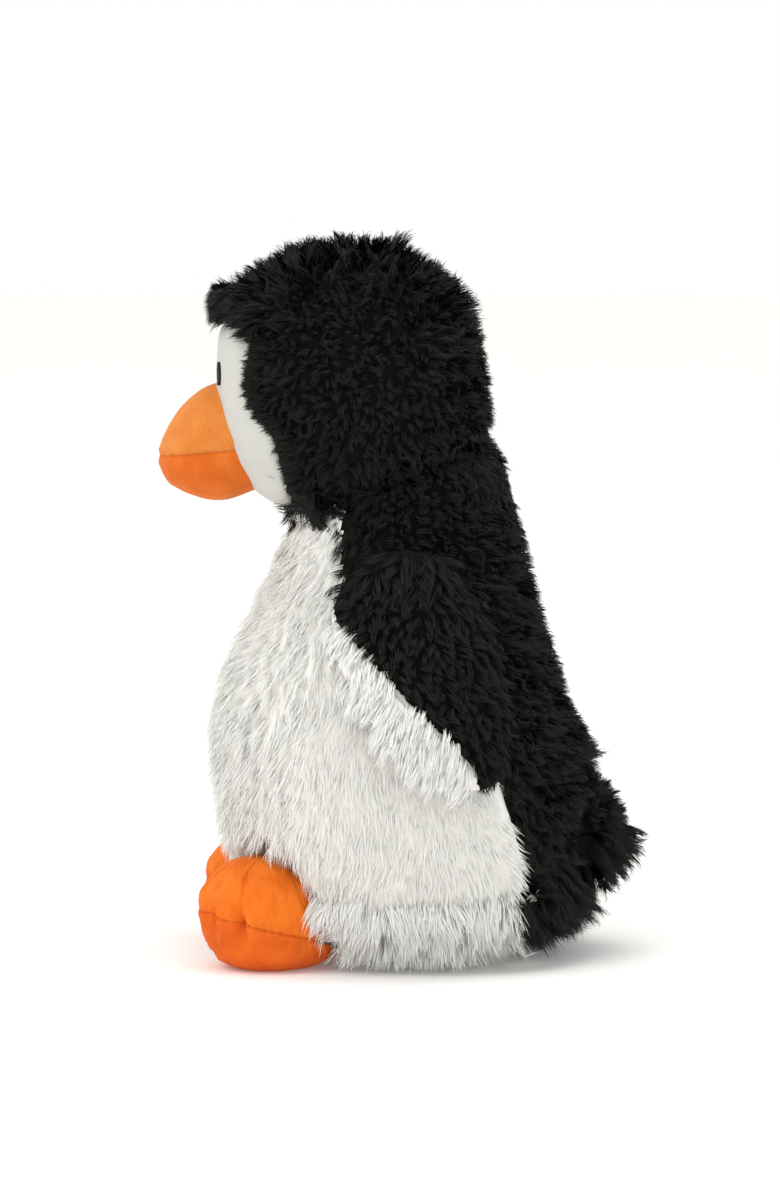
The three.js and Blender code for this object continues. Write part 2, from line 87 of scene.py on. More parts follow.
# The beak's sections from the tip back into the face, and its mouth seam.
BEAK = np.array([
    [-106.5, 232.0, 221.0, 6.5],
    [-103.5, 238.5, 216.0, 14.5],
    [-98.0, 247.5, 212.0, 21.0],
    [-90.0, 255.5, 208.5, 25.0],
    [-80.0, 260.0, 207.0, 27.5],
    [-60.0, 262.0, 213.0, 29.0],
])
MOUTH_HEIGHT, MOUTH_SLOPE, BEAK_TIP, BEAK_ROOT = 227.5, 0.1, -106.5, -60.0
BEAK_GRID = (54, 72)
TIP_SHARE, TIP_SWELL = 0.14, 1.2  # the share of the rows that closes the tip, and how far it stands out
MOST_SEAM = 0.95  # how near to the top or the bottom of a section the mouth may be

FOOT_X, FOOT_Y, FOOT_HALF_WIDTH, FOOT_HALF_LENGTH = 43.0, -57.0, 28.0, 31.5
FOOT_GRID = (34, 168)  # rings and points round each
SEAM_REACH = 31.0  # how far the seam's slope runs to each side of the foot's middle
TOP_SLOPE = 8.0  # how much lower the top is at the heel than at the toes
FOOT_TOP, FOOT_SEAM_FRONT, FOOT_SEAM_BACK = 51.0, 26.5, 12.0
FOOT_SPLAY = math.radians(10)
TOE_DEPTH, TOE_WAVES = 0.06, 9

EYE_X, EYE_Z, EYE_HALF_WIDTH, EYE_HALF_HEIGHT = 20.0, 265.0, 3.4, 5.2
NECK_CENTRE = np.array([0.0, 3.2, 203.5])
NECK_AXIS = np.array([0.0, -0.361625, 0.932324])
NECK_RADIUS = 46.0
NECK_SWELL = 1.04  # so that the ball meets the fillings round it


# ---- Geometry helpers ----


def unit(vectors):
    length = np.linalg.norm(vectors, axis=-1, keepdims=True)
    return vectors / np.maximum(length, 1e-9)


def rising(value, start, end):
    """0 at start and 1 at end, and level beyond them."""
    return np.clip((value - start) / (end - start), 0, 1)


def bell(value, width):
    """1 at 0, and falling away on both sides."""
    return np.exp(-((value / width) ** 2))


def lumps(points, size, seed=0.0):
    """Smooth noise from -1 to 1 at points, with lumps about `size` mm across."""
    shift = Vector((seed, 1.7 * seed, 2.3 * seed))
    return np.array([noise.noise(Vector(p) / size + shift) for p in points])


def arrays_of(mesh):
    """(points in mm, triangles, vertex normals) of a mesh."""
    points = np.empty(len(mesh.vertices) * 3)
    mesh.vertices.foreach_get("co", points)
    mesh.calc_loop_triangles()
    corners = np.empty(len(mesh.loop_triangles) * 3, np.int32)
    mesh.loop_triangles.foreach_get("vertices", corners)
    points, corners = points.reshape(-1, 3) / MM, corners.reshape(-1, 3)
    return points, corners, vertex_normals(points, corners)


def vertex_normals(points, triangles):
    a, b, c = (points[triangles[:, i]] for i in range(3))
    facing = np.cross(b - a, c - a)
    normals = np.zeros_like(points)
    for i in range(3):
        np.add.at(normals, triangles[:, i], facing)
    return unit(normals)


def node_arrays(names):
    """The CAD nodes named, as one set of points and triangles, and which name each triangle is of."""
    points, triangles, owners, count = [], [], [], 0
    for i, name in enumerate(names):
        p, t, _ = arrays_of(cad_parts[name].data)
        points.append(p)
        triangles.append(t + count)
        owners.append(np.full(len(t), i))
        count += len(p)
    return np.concatenate(points), np.concatenate(triangles), np.concatenate(owners)


def tree_of(points, triangles):
    return BVHTree.FromPolygons([Vector(p) for p in points], triangles.tolist())


def tree_over(names):
    """A search tree of the CAD nodes named."""
    points, triangles, _ = node_arrays(names)
    return tree_of(points, triangles)


def distance_to(tree, points):
    return np.array([tree.find_nearest(Vector(p))[3] for p in points])


def add_object(name, points, faces, smooth=True):
    """A new object from points in mm."""
    mesh = bpy.data.meshes.new(name)
    mesh.from_pydata((np.asarray(points) * MM).tolist(), [], [tuple(f) for f in faces])
    mesh.update()
    mesh.shade_smooth() if smooth else mesh.shade_flat()
    made = bpy.data.objects.new(name, mesh)
    bpy.context.scene.collection.objects.link(made)
    return made


def apply_modifiers(made):
    graph = bpy.context.evaluated_depsgraph_get()
    mesh = bpy.data.meshes.new_from_object(made.evaluated_get(graph))
    made.modifiers.clear()
    made.data = mesh
    return made


def remeshed(names, voxel, rounds, neck=False):
    """The CAD nodes named, as one smooth closed mesh of even faces, joined to the neck's ball or not."""
    points, triangles, _ = node_arrays(names)
    if neck:
        ball, faces, _ = node_arrays(["neck_stuffing"])
        ball = NECK_CENTRE + (ball - NECK_CENTRE) * NECK_SWELL
        triangles = np.concatenate([triangles, faces + len(points)])
        points = np.concatenate([points, ball])
    made = add_object("remeshed", points, triangles)
    remesh = made.modifiers.new("even", "REMESH")
    remesh.mode = "VOXEL"
    remesh.voxel_size = voxel * MM
    smoothing = made.modifiers.new("soft", "SMOOTH")
    smoothing.factor, smoothing.iterations = 0.5, rounds
    apply_modifiers(made)
    mesh = made.data
    quads = [tuple(p.vertices) for p in mesh.polygons]
    points, triangles, normals = arrays_of(mesh)
    bpy.data.objects.remove(made)
    return {"points": points, "faces": quads, "triangles": triangles, "normals": normals}


def thickened(made, thickness):
    """An open surface given its cloth's thickness, on the inside."""
    shell = made.modifiers.new("cloth", "SOLIDIFY")
    shell.thickness, shell.offset = thickness * MM, -1
    return apply_modifiers(made)


def tube(path, radius, sides=6):
    """Points and faces of a closed thread along a path."""
    path = np.asarray(path, float)
    along = unit(np.gradient(path, axis=0))
    first = unit(np.cross(along, [0.31, 0.52, 0.79]))
    second = np.cross(along, first)
    turns = np.linspace(0, 2 * math.pi, sides, endpoint=False)
    rings = [first * math.cos(t) + second * math.sin(t) for t in turns]
    points = (path[:, None] + radius * np.stack(rings, 1)).reshape(-1, 3)
    faces = []
    for i in range(len(path) - 1):
        for j in range(sides):
            k = (j + 1) % sides
            faces.append((i * sides + j, i * sides + k, (i + 1) * sides + k, (i + 1) * sides + j))
    last = (len(path) - 1) * sides
    faces.append(tuple(reversed(range(sides))))
    faces.append(tuple(last + j for j in range(sides)))
    return points, faces


def joined(parts):
    """Several (points, faces) as one."""
    points, faces, count = [], [], 0
    for p, f in parts:
        points.append(p)
        faces += [tuple(i + count for i in face) for face in f]
        count += len(p)
    return np.concatenate(points), faces


SEWN_GAP = 0.02  # points nearer than this are one point of the sewn skin
CLOTH_FRAMES = 14


def settled(panels, held_of, pressure, cap, slack):
    """The panels' points once their filling has pressed them out as one skin, sewn where they meet.
    held_of gives how firmly each point is held, from 0 to 1; no point moves further than cap. slack is the
    share by which the cloth is larger than the shape it covers, which makes it crease."""
    points, faces = joined(panels)
    _, first, back = np.unique(
        np.round(points / SEWN_GAP), axis=0, return_index=True, return_inverse=True,
    )
    skin, back = points[first], back.ravel()
    sewn = [tuple(dict.fromkeys(int(back[i]) for i in face)) for face in faces]
    made = add_object("skin", skin, [face for face in sewn if len(face) > 2])
    group = made.vertex_groups.new(name="held")
    for i, firmness in enumerate(held_of(skin)):
        if firmness > 0.01:
            group.add([i], float(min(firmness, 1.0)), "REPLACE")
    cloth = made.modifiers.new("cloth", "CLOTH")
    cloth.settings.quality = 6
    cloth.settings.mass = 0.005
    cloth.settings.bending_stiffness = 0.6
    cloth.settings.shrink_min = -slack
    cloth.settings.vertex_group_mass = group.name
    cloth.settings.use_pressure = True
    cloth.settings.uniform_pressure_force = pressure
    cloth.settings.effector_weights.gravity = 0
    cloth.point_cache.frame_end = CLOTH_FRAMES
    for step in range(1, CLOTH_FRAMES + 1):
        bpy.context.scene.frame_set(step)
    apply_modifiers(made)
    moved = arrays_of(made.data)[0] - skin
    bpy.context.scene.frame_set(1)
    bpy.data.objects.remove(made)
    reach = np.linalg.norm(moved, axis=1, keepdims=True)
    points = points + (moved * np.minimum(1, cap / np.maximum(reach, 1e-6)))[back]
    return np.split(points, np.cumsum([len(p) for p, _ in panels])[:-1])


def finish_piece(made, body, material, stands_for=()):
    made.data.materials.clear()
    made.data.materials.append(material)
    if stands_for:
        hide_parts(*stands_for)
    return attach(made, body)


# ---- Materials ----


def new_material(name, roughness, specular=0.3, sheen=0.0, sheen_tint=(1, 1, 1)):
    material = bpy.data.materials.new(name)
    material.use_nodes = True
    nodes, links = material.node_tree.nodes, material.node_tree.links
    shader = nodes["Principled BSDF"]
    shader.inputs["Roughness"].default_value = roughness
    shader.inputs["Specular IOR Level"].default_value = specular
    shader.inputs["Sheen Weight"].default_value = sheen
    shader.inputs["Sheen Roughness"].default_value = 0.5
    shader.inputs["Sheen Tint"].default_value = (*sheen_tint, 1)
    return material, nodes, links, shader


def ramp_of(nodes, stops):
    ramp = nodes.new("ShaderNodeValToRGB")
    elements = ramp.color_ramp.elements
    while len(elements) < len(stops):
        elements.new(0.5)
    for element, (place, colour) in zip(elements, stops):
        element.position, element.color = place, (*colour, 1)
    return ramp


def pile_material(name, along, tones_and_sheen, roughness, specular):
    """Colour runs along each hair: darker at the root as painted shade deep in the pile and, on the black
    pile, lighter at the tip as painted sheen. It also differs a little from hair to hair, partly as painted
    sheen on the black pile.
    """
    material, nodes, links, shader = new_material(name, roughness, specular)
    place = nodes.new("ShaderNodeUVMap")
    place.uv_map = MAP
    split = nodes.new("ShaderNodeSeparateXYZ")
    links.new(place.outputs["UV"], split.inputs["Vector"])
    # Along the hair: painted shade at the root and, on the black pile, painted sheen at the tip. Across
    # hairs: random tone, with painted sheen in the black pile's bluish top.
    colour_and_painted_light_ramp, tone_and_sheen_ramp = ramp_of(nodes, along), ramp_of(nodes, tones_and_sheen)
    links.new(split.outputs["Y"], colour_and_painted_light_ramp.inputs["Fac"])
    links.new(split.outputs["X"], tone_and_sheen_ramp.inputs["Fac"])
    mix = nodes.new("ShaderNodeMix")
    mix.data_type, mix.blend_type = "RGBA", "MULTIPLY"
    mix.inputs["Factor"].default_value = 1
    links.new(colour_and_painted_light_ramp.outputs["Color"], mix.inputs["A"])
    links.new(tone_and_sheen_ramp.outputs["Color"], mix.inputs["B"])
    links.new(mix.outputs["Result"], shader.inputs["Base Color"])
    return material


MOTTLE = (0.3, 0.7)  # the noise values where a cloth's darkest and lightest colours lie


def cloth_material(
    name, colours, patch, grain, roughness, specular=0.25, sheen=0.0, bump=0.0, tint=(1, 1, 1),
):
    """Cloth with a mottled colour and a fine raised grain. patch and grain are noise scales per metre."""
    material, nodes, links, shader = new_material(name, roughness, specular, sheen, tint)
    where = nodes.new("ShaderNodeTexCoord")
    broad, fine = nodes.new("ShaderNodeTexNoise"), nodes.new("ShaderNodeTexNoise")
    broad.inputs["Scale"].default_value, broad.inputs["Detail"].default_value = patch, 4
    fine.inputs["Scale"].default_value, fine.inputs["Detail"].default_value = grain, 3
    for texture in (broad, fine):
        links.new(where.outputs["Object"], texture.inputs["Vector"])
    mix = nodes.new("ShaderNodeMix")
    mix.data_type = "FLOAT"
    mix.inputs["Factor"].default_value = 0.4
    links.new(broad.outputs["Fac"], mix.inputs["A"])
    links.new(fine.outputs["Fac"], mix.inputs["B"])
    ramp = ramp_of(nodes, list(zip(np.linspace(*MOTTLE, len(colours)), colours)))
    links.new(mix.outputs["Result"], ramp.inputs["Fac"])
    links.new(ramp.outputs["Color"], shader.inputs["Base Color"])
    if bump:
        raised = nodes.new("ShaderNodeBump")
        raised.inputs["Strength"].default_value = bump
        raised.inputs["Distance"].default_value = 0.0004
        links.new(fine.outputs["Fac"], raised.inputs["Height"])
        links.new(raised.outputs["Normal"], shader.inputs["Normal"])
    return material


def orange_velour(name, dark, middle, light, tint):
    """Short orange pile, with the sheen's tint."""
    return cloth_material(name, [dark, middle, light], 70, 1700, 0.88, 0.2, 0.12, 0.5, tint)


# Black pile: the dark roots are painted shade, the lighter tips are painted sheen, and the bluish top of the
# tones is partly painted sheen, partly random tone.
BLACK_HAIR = pile_material(
    "black_pile",
    [(0.0, (0.003, 0.0025, 0.0018)), (0.55, (0.008, 0.0066, 0.0048)), (1.0, (0.0165, 0.0145, 0.0122))],
    [(0.0, (0.86, 0.85, 0.82)), (0.8, (1.0, 1.0, 1.0)), (1.0, (1.35, 1.35, 1.45))],
    0.66, 0.2,
)
# White pile: the greyer roots are painted shade between the hairs.
WHITE_HAIR = pile_material(
    "white_pile",
    [(0.0, (0.87, 0.865, 0.825)), (0.45, (0.905, 0.905, 0.865)), (1.0, (0.925, 0.925, 0.895))],
    [(0.0, (0.96, 0.96, 0.955)), (0.5, (1.0, 1.0, 1.0)), (1.0, (1.0, 1.0, 1.0))],
    0.65, 0.25,
)
# Lining pile: the greyer roots are painted shade between the hairs.
LINING_HAIR = pile_material(
    "lining_pile",
    [(0.0, (0.86, 0.85, 0.80)), (0.4, (0.93, 0.93, 0.90)), (1.0, (0.96, 0.96, 0.945))],
    [(0.0, (0.96, 0.96, 0.95)), (1.0, (1.0, 1.0, 1.0))],
    0.65, 0.25,
)
BLACK_CLOTH = cloth_material(
    "black_backing", [(0.003, 0.0028, 0.0024), (0.008, 0.0075, 0.007)], 90, 1500, 0.95, 0.1,
)
WHITE_CLOTH = cloth_material(
    "white_backing", [(0.84, 0.83, 0.78), (0.90, 0.89, 0.85)], 90, 1500, 0.95, 0.1,
)
FACE_CLOTH = cloth_material(
    "face_velour", [(0.555, 0.555, 0.515), (0.60, 0.60, 0.56)], 60, 2200, 0.9, 0.2, 0.08, 0.25,
)
ORANGE_CLOTH = orange_velour(
    "orange_velour", (0.68, 0.115, 0.007), (0.82, 0.165, 0.011), (0.89, 0.22, 0.022), (1.0, 0.62, 0.3),
)
# A darker copy of the feet's orange velour for the soles: painted shade on the underside.
SOLE_SHADED_CLOTH = orange_velour(
    "sole_velour_painted_shade", (0.64, 0.092, 0.006), (0.76, 0.13, 0.009), (0.82, 0.17, 0.018), (1.0, 0.62, 0.3),
)
BEAK_CLOTH = orange_velour(
    "beak_velour", (0.62, 0.155, 0.020), (0.71, 0.225, 0.040), (0.77, 0.29, 0.065), (1.0, 0.7, 0.45),
)
# A darker, deeper copy of the beak's velour for its lower panel: painted shade on the underside.
BEAK_LOWER_SHADED_CLOTH = orange_velour(
    "beak_lower_velour", (0.60, 0.098, 0.007), (0.70, 0.145, 0.013), (0.77, 0.20, 0.028), (1.0, 0.66, 0.35),
)
EYE_THREAD = cloth_material(
    "eye_thread", [(0.002, 0.002, 0.002), (0.005, 0.005, 0.006)], 300, 3000, 0.45, 0.3,
)
FIBRE = cloth_material(
    "fibre_filling", [(0.74, 0.73, 0.69), (0.88, 0.87, 0.84)], 140, 900, 0.95, 0.15, 0.2, 0.8,
)
COTTON = cloth_material(
    "grain_cotton", [(0.55, 0.48, 0.35), (0.72, 0.65, 0.50)], 120, 1300, 0.9, 0.15, 0.1, 0.7,
)
SATIN = cloth_material(
    "label_satin", [(0.86, 0.86, 0.85), (0.93, 0.93, 0.92)], 200, 2600, 0.4, 0.5, 0.1, 0.2,
)


# ---- Pile ----


TRIES_PER_PLACE = 3.5


def scatter(points, triangles, normals, spacing):
    """Places on a surface no nearer than spacing to each other, and their normals."""
    corners = points[triangles]
    area = np.linalg.norm(np.cross(corners[:, 1] - corners[:, 0], corners[:, 2] - corners[:, 0]), axis=1)
    tries = int(area.sum() / 2 / spacing**2 * TRIES_PER_PLACE)
    pick = random.choice(len(area), tries, p=area / area.sum())
    a, b = random.random((2, tries))
    over = a + b > 1
    a[over], b[over] = 1 - a[over], 1 - b[over]
    weights = np.stack([1 - a - b, a, b], 1)[:, :, None]
    places = (corners[pick] * weights).sum(1)
    ups = unit((normals[triangles[pick]] * weights).sum(1))
    cells, kept = {}, []
    near = [(i, j, k) for i in (-1, 0, 1) for j in (-1, 0, 1) for k in (-1, 0, 1)]
    for n, (place, cell) in enumerate(zip(places, np.floor(places / spacing).astype(int).tolist())):
        found = [cells.get((cell[0] + i, cell[1] + j, cell[2] + k)) for i, j, k in near]
        if all(f is None or np.dot(place - f, place - f) > spacing**2 for f in found):
            cells[tuple(cell)] = place
            kept.append(n)
    return places[kept], ups[kept]


PANEL_START = 8.0  # how far over the core a panel's inner face may be
PANEL_REACH, DEEP_REACH = 15.0, 34.0  # how thick a panel may be, on most of the toy and low on the torso
LEAST_RISE = 0.6
STAND_LEVELS = (1.0, 0.35, 0.0)  # how much of its rise the pile keeps: all, some or none
EDGE_HEIGHT = 0.85  # how high the pile past an edge is, as a share of its neighbour's
FLOOR_FACING = -0.6  # a surface that faces down more than this has no pile past its edge
COVER_REACH = 14.0


def face_over(tree, place, up, reach):
    """The triangle of the panel over a place, and how far out it is, or none."""
    place, up = Vector(place), Vector(up)
    first = tree.ray_cast(place - up, up, PANEL_START)
    if first[0] is None:
        return None, 0
    second = tree.ray_cast(first[0] + up * 0.05, up, reach)
    outer = second if second[0] is not None else first
    return outer[2], (outer[0] - place).dot(up)


def cover_over(places, ups, panels, over=None, deep_below=0.0):
    """Which panel lies over each place (-1 for none), how long the pile is, the way it stands, and its roots.
    Lower than deep_below a panel may be much thicker than the pile, and the roots move out with its face.
    At the panels' free edges the pile stands more level than the filling under it, and a strip past the edge
    has pile too, where nothing else (over) covers it."""
    points, triangles, owners = node_arrays(panels)
    tree = tree_of(points, triangles)
    which, height, stands = np.full(len(places), -1), np.zeros(len(places)), ups.copy()
    roots = places.copy()
    for n, (place, up) in enumerate(zip(places, ups)):
        deep = place[2] < deep_below
        for level in STAND_LEVELS:
            tried = unit(up * [1, 1, level])
            found, rise = face_over(tree, place, tried, DEEP_REACH if deep else PANEL_REACH)
            if found is not None and rise > LEAST_RISE:
                which[n], height[n], stands[n] = owners[found], np.clip(rise, *PILE_HEIGHTS), tried
                roots[n] += tried * (max(rise - PILE_HEIGHTS[1], 0) if deep else 0)
                break
    covered = np.nonzero(which >= 0)[0]
    nearest = KDTree(len(covered))
    for i in covered:
        nearest.insert(places[i], int(i))
    nearest.balance()
    for n in np.nonzero(which < 0)[0]:
        _, i, distance = nearest.find(places[n])
        start = Vector(places[n] + ups[n] * 0.5)
        clear = over is None or over.ray_cast(start, Vector(ups[n]), COVER_REACH)[0] is None
        if distance < EDGE_STRIP and clear and ups[n][2] > FLOOR_FACING:
            which[n], height[n], stands[n] = which[i], EDGE_HEIGHT * height[i], stands[i]
            roots[n] += roots[i] - places[i]
    return which, height, stands, roots


LEAN_SHARE = 0.92  # the hair bends, so it leans less far than a straight one would
KNEE_RISE, KNEE_LEAN, KNEE_CLOSING = 0.95, 0.3, 0.15
ROOT_DEPTH = 0.5
TIP_SPREAD = 1.6  # how unevenly hairs end over the floor
MOST_ROLL = 1.1
TUFT_ROUNDING = 0.4  # how far a tuft's outer hairs are lit as if they faced outward
TONE_LOW, TONE_SPAN, HALF_MAP_WIDTH = 0.02, 0.96, 0.006


def hair_ribbons(roots, ups, flows, heights, pile, keep_off=()):
    """Points, normals, map places and number of the hairs of the tufts at roots."""
    tufts, each = len(roots), pile["count"]
    hairs = tufts * each
    sides = np.cross(ups, flows)
    rises = heights * random.uniform(*pile["rise"], tufts)
    lengths = np.maximum(pile["length"] * random.uniform(0.86, 1.12, tufts), 1.1 * rises)
    leans = np.sqrt(lengths**2 - rises**2) * LEAN_SHARE
    tuft_tone = random.random(tufts)

    up, flow, side = (np.repeat(v, each, 0) for v in (ups, flows, sides))
    rise, lean = (np.repeat(v, each)[:, None] for v in (rises, leans))
    turn = random.uniform(0, 2 * math.pi, hairs)[:, None]
    out = np.sqrt(random.random(hairs))[:, None]
    offset = (flow * np.cos(turn) + side * np.sin(turn)) * out * pile["radius"]
    share = random.uniform(pile["shortest"], 1, hairs)[:, None]
    start = np.repeat(roots, each, 0) + offset - up * ROOT_DEPTH
    stray = random.normal(0, pile["stray"], (hairs, 3)) * share
    end = start + (up * rise + flow * lean - offset * pile["gather"]) * share + stray
    knee = start + (up * rise * KNEE_RISE + flow * lean * KNEE_LEAN) * share - offset * KNEE_CLOSING

    t = HAIR_STATIONS[:, None, None]
    line = (1 - t) ** 2 * start + 2 * t * (1 - t) * knee + t**2 * end
    for keep in keep_off:
        line = keep(line)
    line[..., 2] = np.maximum(line[..., 2], FLOOR_GAP + TIP_SPREAD * random.random(hairs))
    along = unit(np.gradient(line, axis=0))

    across = unit(np.cross(along[1], up))
    facing = np.cross(across, along[1])
    roll = np.clip(random.normal(0, pile["roll"], hairs), -MOST_ROLL, MOST_ROLL)[:, None]
    across = across * np.cos(roll) + facing * np.sin(roll)
    width = pile["width"] * random.uniform(0.75, 1.25, hairs)[:, None] / 2
    shown = unit(np.cross(across[None], along))
    rounded = unit(up + TUFT_ROUNDING * offset / pile["radius"])
    normals = unit(shown + pile["softness"] * rounded[None])

    reach = across[None] * width[None] * HAIR_WIDTHS[:, None, None]
    edges = [line[i] + turned * reach[i] for i in range(3) for turned in (-1, 1)]
    points = np.stack([*edges, line[3]], 1)
    stations = [0, 0, 1, 1, 2, 2, 3]
    normals = np.stack([normals[s] for s in stations], 1)
    tone = TONE_LOW + TONE_SPAN * np.clip((np.repeat(tuft_tone, each) + random.random(hairs)) / 2, 0, 1)
    lateral = np.array([-1, 1, -1, 1, -1, 1, 0]) * HALF_MAP_WIDTH
    places = np.stack([tone[:, None] + lateral, np.tile(HAIR_STATIONS[stations], (hairs, 1))], -1)
    return points.reshape(-1, 3), normals.reshape(-1, 3), places.reshape(-1, 2), hairs


# The corners of a hair's two quads and its tip triangle, and where each face starts.
HAIR_CORNERS, HAIR_STARTS, HAIR_POINTS = np.array([0, 1, 3, 2, 2, 3, 5, 4, 4, 5, 6]), np.array([0, 4, 8]), 7


def add_pile(name, parts, material, body, stands_for):
    """A piece of hair ribbons. Each part is what hair_ribbons gives."""
    points, normals, places = (np.concatenate([part[i] for part in parts]) for i in range(3))
    each = np.arange(sum(part[3] for part in parts))[:, None]
    corners = (HAIR_CORNERS[None] + HAIR_POINTS * each).ravel().astype(np.int32)
    starts = (HAIR_STARTS[None] + len(HAIR_CORNERS) * each).ravel().astype(np.int32)
    mesh = bpy.data.meshes.new(name)
    mesh.vertices.add(len(points))
    mesh.vertices.foreach_set("co", (points * MM).astype(np.float32).ravel())
    mesh.loops.add(len(corners))
    mesh.loops.foreach_set("vertex_index", corners)
    mesh.polygons.add(len(starts))
    mesh.polygons.foreach_set("loop_start", starts)
    mesh.update(calc_edges=True)
    layer = mesh.uv_layers.new(name=MAP)
    layer.data.foreach_set("uv", places[corners].astype(np.float32).ravel())
    mesh.shade_smooth()
    mesh.normals_split_custom_set_from_vertices(normals.tolist())
    made = bpy.data.objects.new(name, mesh)
    bpy.context.scene.collection.objects.link(made)
    return finish_piece(made, body, material, stands_for)


PATCH_TURN, TUFT_TURN, PATCH_SEED = 1.5, 0.5, 3.1


def swirled(flows, ups, places, pile):
    """Directions along the surface, turned a little from place to place."""
    flat = unit(flows - ups * (flows * ups).sum(1, keepdims=True))
    turned = PATCH_TURN * lumps(places, pile["patch"], PATCH_SEED) + random.normal(0, TUFT_TURN, len(places))
    angle = np.radians(pile["swirl"]) * turned
    return flat * np.cos(angle)[:, None] + np.cross(ups, flat) * np.sin(angle)[:, None]


BACKING_VOXEL, BACKING_GAP = 2.4, 0.15


def add_backing(node, core, keep, body, cloth, deep=0.0):
    """The backing cloth of a long-pile panel: the CAD panel drawn in towards the filling under it, to a share
    of its height, keep. Lower than deep it stays as near to the panel's face as the pile is high."""
    panel = remeshed([node], BACKING_VOXEL, 3)
    tree = tree_of(core["points"], core["triangles"])
    places = []
    for point in panel["points"]:
        near = tree.find_nearest(Vector(point))
        foot, normal = np.array(near[0]), np.array(near[1])
        away = point - foot
        far = np.linalg.norm(away)
        kept = keep if point[2] > deep else keep + (1 - keep) * max(1 - PILE_HEIGHTS[1] / max(far, 0.1), 0)
        places.append(foot + away * kept + normal * BACKING_GAP)
    places = np.array(places)
    places[:, 2] = np.maximum(places[:, 2], FLOOR_GAP)
    return finish_piece(add_object(f"{node}_backing", places, panel["faces"]), body, cloth, [node])


# ---- Cores that the pile grows from ----

torso_core = remeshed(["body_stuffing", "grain_pouch"], 3.0, 6, neck=True)
head_core = remeshed(["head_stuffing"], 3.0, 6, neck=True)
tail_core = remeshed(["tail_stuffing"], 2.5, 4)


FLIPPER_MIDDLE, FLIPPER_REACH = np.array([14.0, 134.0]), 0.9
FLIPPER_EDGE = 0.97  # where the flipper's own middle is measured, just inside its outline
FLIPPER_THICKNESS = 0.42


def flipper_core(side):
    """The flipper's panels drawn in all round to a thin pad that its pile grows from."""
    nodes = [f"flipper_{part}_{side}" for part in ("outer", "inner", "stuffing")]
    core = remeshed(nodes, 2.0, 3)
    tree = tree_of(core["points"], core["triangles"])

    def middle(y, z):
        away = Vector((SIDES[side] * 200.0, y, z))
        inward = Vector((-SIDES[side], 0, 0))
        hits = [tree.ray_cast(away, inward)[0], tree.ray_cast(Vector((0, y, z)), -inward)[0]]
        return None if None in hits else (hits[0].x + hits[1].x) / 2

    points = core["points"].copy()
    for n, (x, y, z) in enumerate(core["points"]):
        now = FLIPPER_MIDDLE + FLIPPER_EDGE * (np.array([y, z]) - FLIPPER_MIDDLE)
        new = FLIPPER_MIDDLE + FLIPPER_REACH * (np.array([y, z]) - FLIPPER_MIDDLE)
        here, there = middle(*now), middle(*new)
        if here is not None and there is not None:
            points[n] = [there + FLIPPER_THICKNESS * (x - here), *new]
    normals = vertex_normals(points, core["triangles"])
    return {**core, "points": points, "normals": normals}


flipper_cores = {side: flipper_core(side) for side in SIDES}


def keep_outside(nodes, clearance, zone):
    """A rule that moves hairs out of CAD nodes: a point inside goes to the surface, and a little over it."""
    tree = tree_over(nodes)
    low, high = zone

    def rule(line):
        inside = ((line > low) & (line < high)).all(-1)
        for i, j in zip(*np.nonzero(inside)):
            near, normal, _, _ = tree.find_nearest(Vector(line[i, j]))
            depth = (Vector(line[i, j]) - near).dot(normal)
            if depth < clearance:
                line[i, j] = np.array(near + normal * clearance)
        return line

    return rule


def grow_panels(core, panels, flow_of, pile_of, height_of, keep_off=(), over=None, choose=None, deep=0.0):
    """The tufts of each panel, from one core: what ribbons() needs to make hairs of them."""
    by_panel = {}
    kinds = {id(pile_of(name)): pile_of(name) for name in panels}
    for pile in kinds.values():
        places, ups = scatter(core["points"], core["triangles"], core["normals"], pile["spacing"])
        which, heights, ups, places = cover_over(places, ups, panels, over, deep)
        if choose:
            which = choose(places, ups, which)
        for n, name in enumerate(panels):
            mine = (which == n) & (pile_of(name) is pile)
            if not mine.any():
                continue
            p, u, h = places[mine], ups[mine], heights[mine]
            flow = swirled(flow_of(name, p, u), u, p, pile)
            by_panel[name] = (p, u, flow, height_of(name, p, h), pile, keep_off)
    return by_panel


def ribbons(tufts, chosen=None, other=None):
    """The hairs of all tufts, or of the chosen ones, of their own kind of pile or of another."""
    p, u, flow, h, pile, keep_off = tufts
    pile = other or pile
    if chosen is not None:
        p, u, flow, h = p[chosen], u[chosen], flow[chosen], h[chosen]
    return hair_ribbons(p, u, flow, h, pile, keep_off)


# ---- Torso ----


def torso_flow(name, p, u):
    """Down, forward at the front and backward at the back and along the seam; out a little at the hem."""
    y, z = p[:, 1], p[:, 2]
    hem, lower = rising(z, 24, 4), rising(z, 120, 100)
    if name == "belly_panel":
        along = rising(y, 8, 63) * 0.6 - rising(y, 8, -82) * 0.1
        along = along + 0.3 * bell(distance_to(black_tree, p), 10) * lower
        side = 0.0 * y
    else:
        along = 0.25 + 0.75 * rising(z, 60, 20) * (y > 40)
        along = along + 0.8 * bell(distance_to(belly_tree, p), 9) * lower
        side = 0.12 * np.sign(p[:, 0])
    return np.stack([side, along, -np.ones(len(p))], 1) + u * hem[:, None] * 0.5


def torso_height(name, p, h):
    """The back's pile is longest round the tail, where it fills the step between them."""
    y, z = p[:, 1], p[:, 2]
    if name == "belly_panel":
        middle = rising(y, -45, -60) * bell(z - 95, 30)
        return h * (1 + 0.18 * middle - 0.15 * rising(z, 46, 34))
    seam = bell(distance_to(belly_tree, p), 9)
    nape = rising(z, 204, 212) * rising(y, 20, 35)
    low = rising(z, 50, 38) * rising(y, 40, 62)
    above = bell(z - 90, 14) * rising(y, 60, 75)
    return h * (1 + 1.1 * low + 0.7 * above) * (1 - 0.3 * seam - 0.45 * nape)


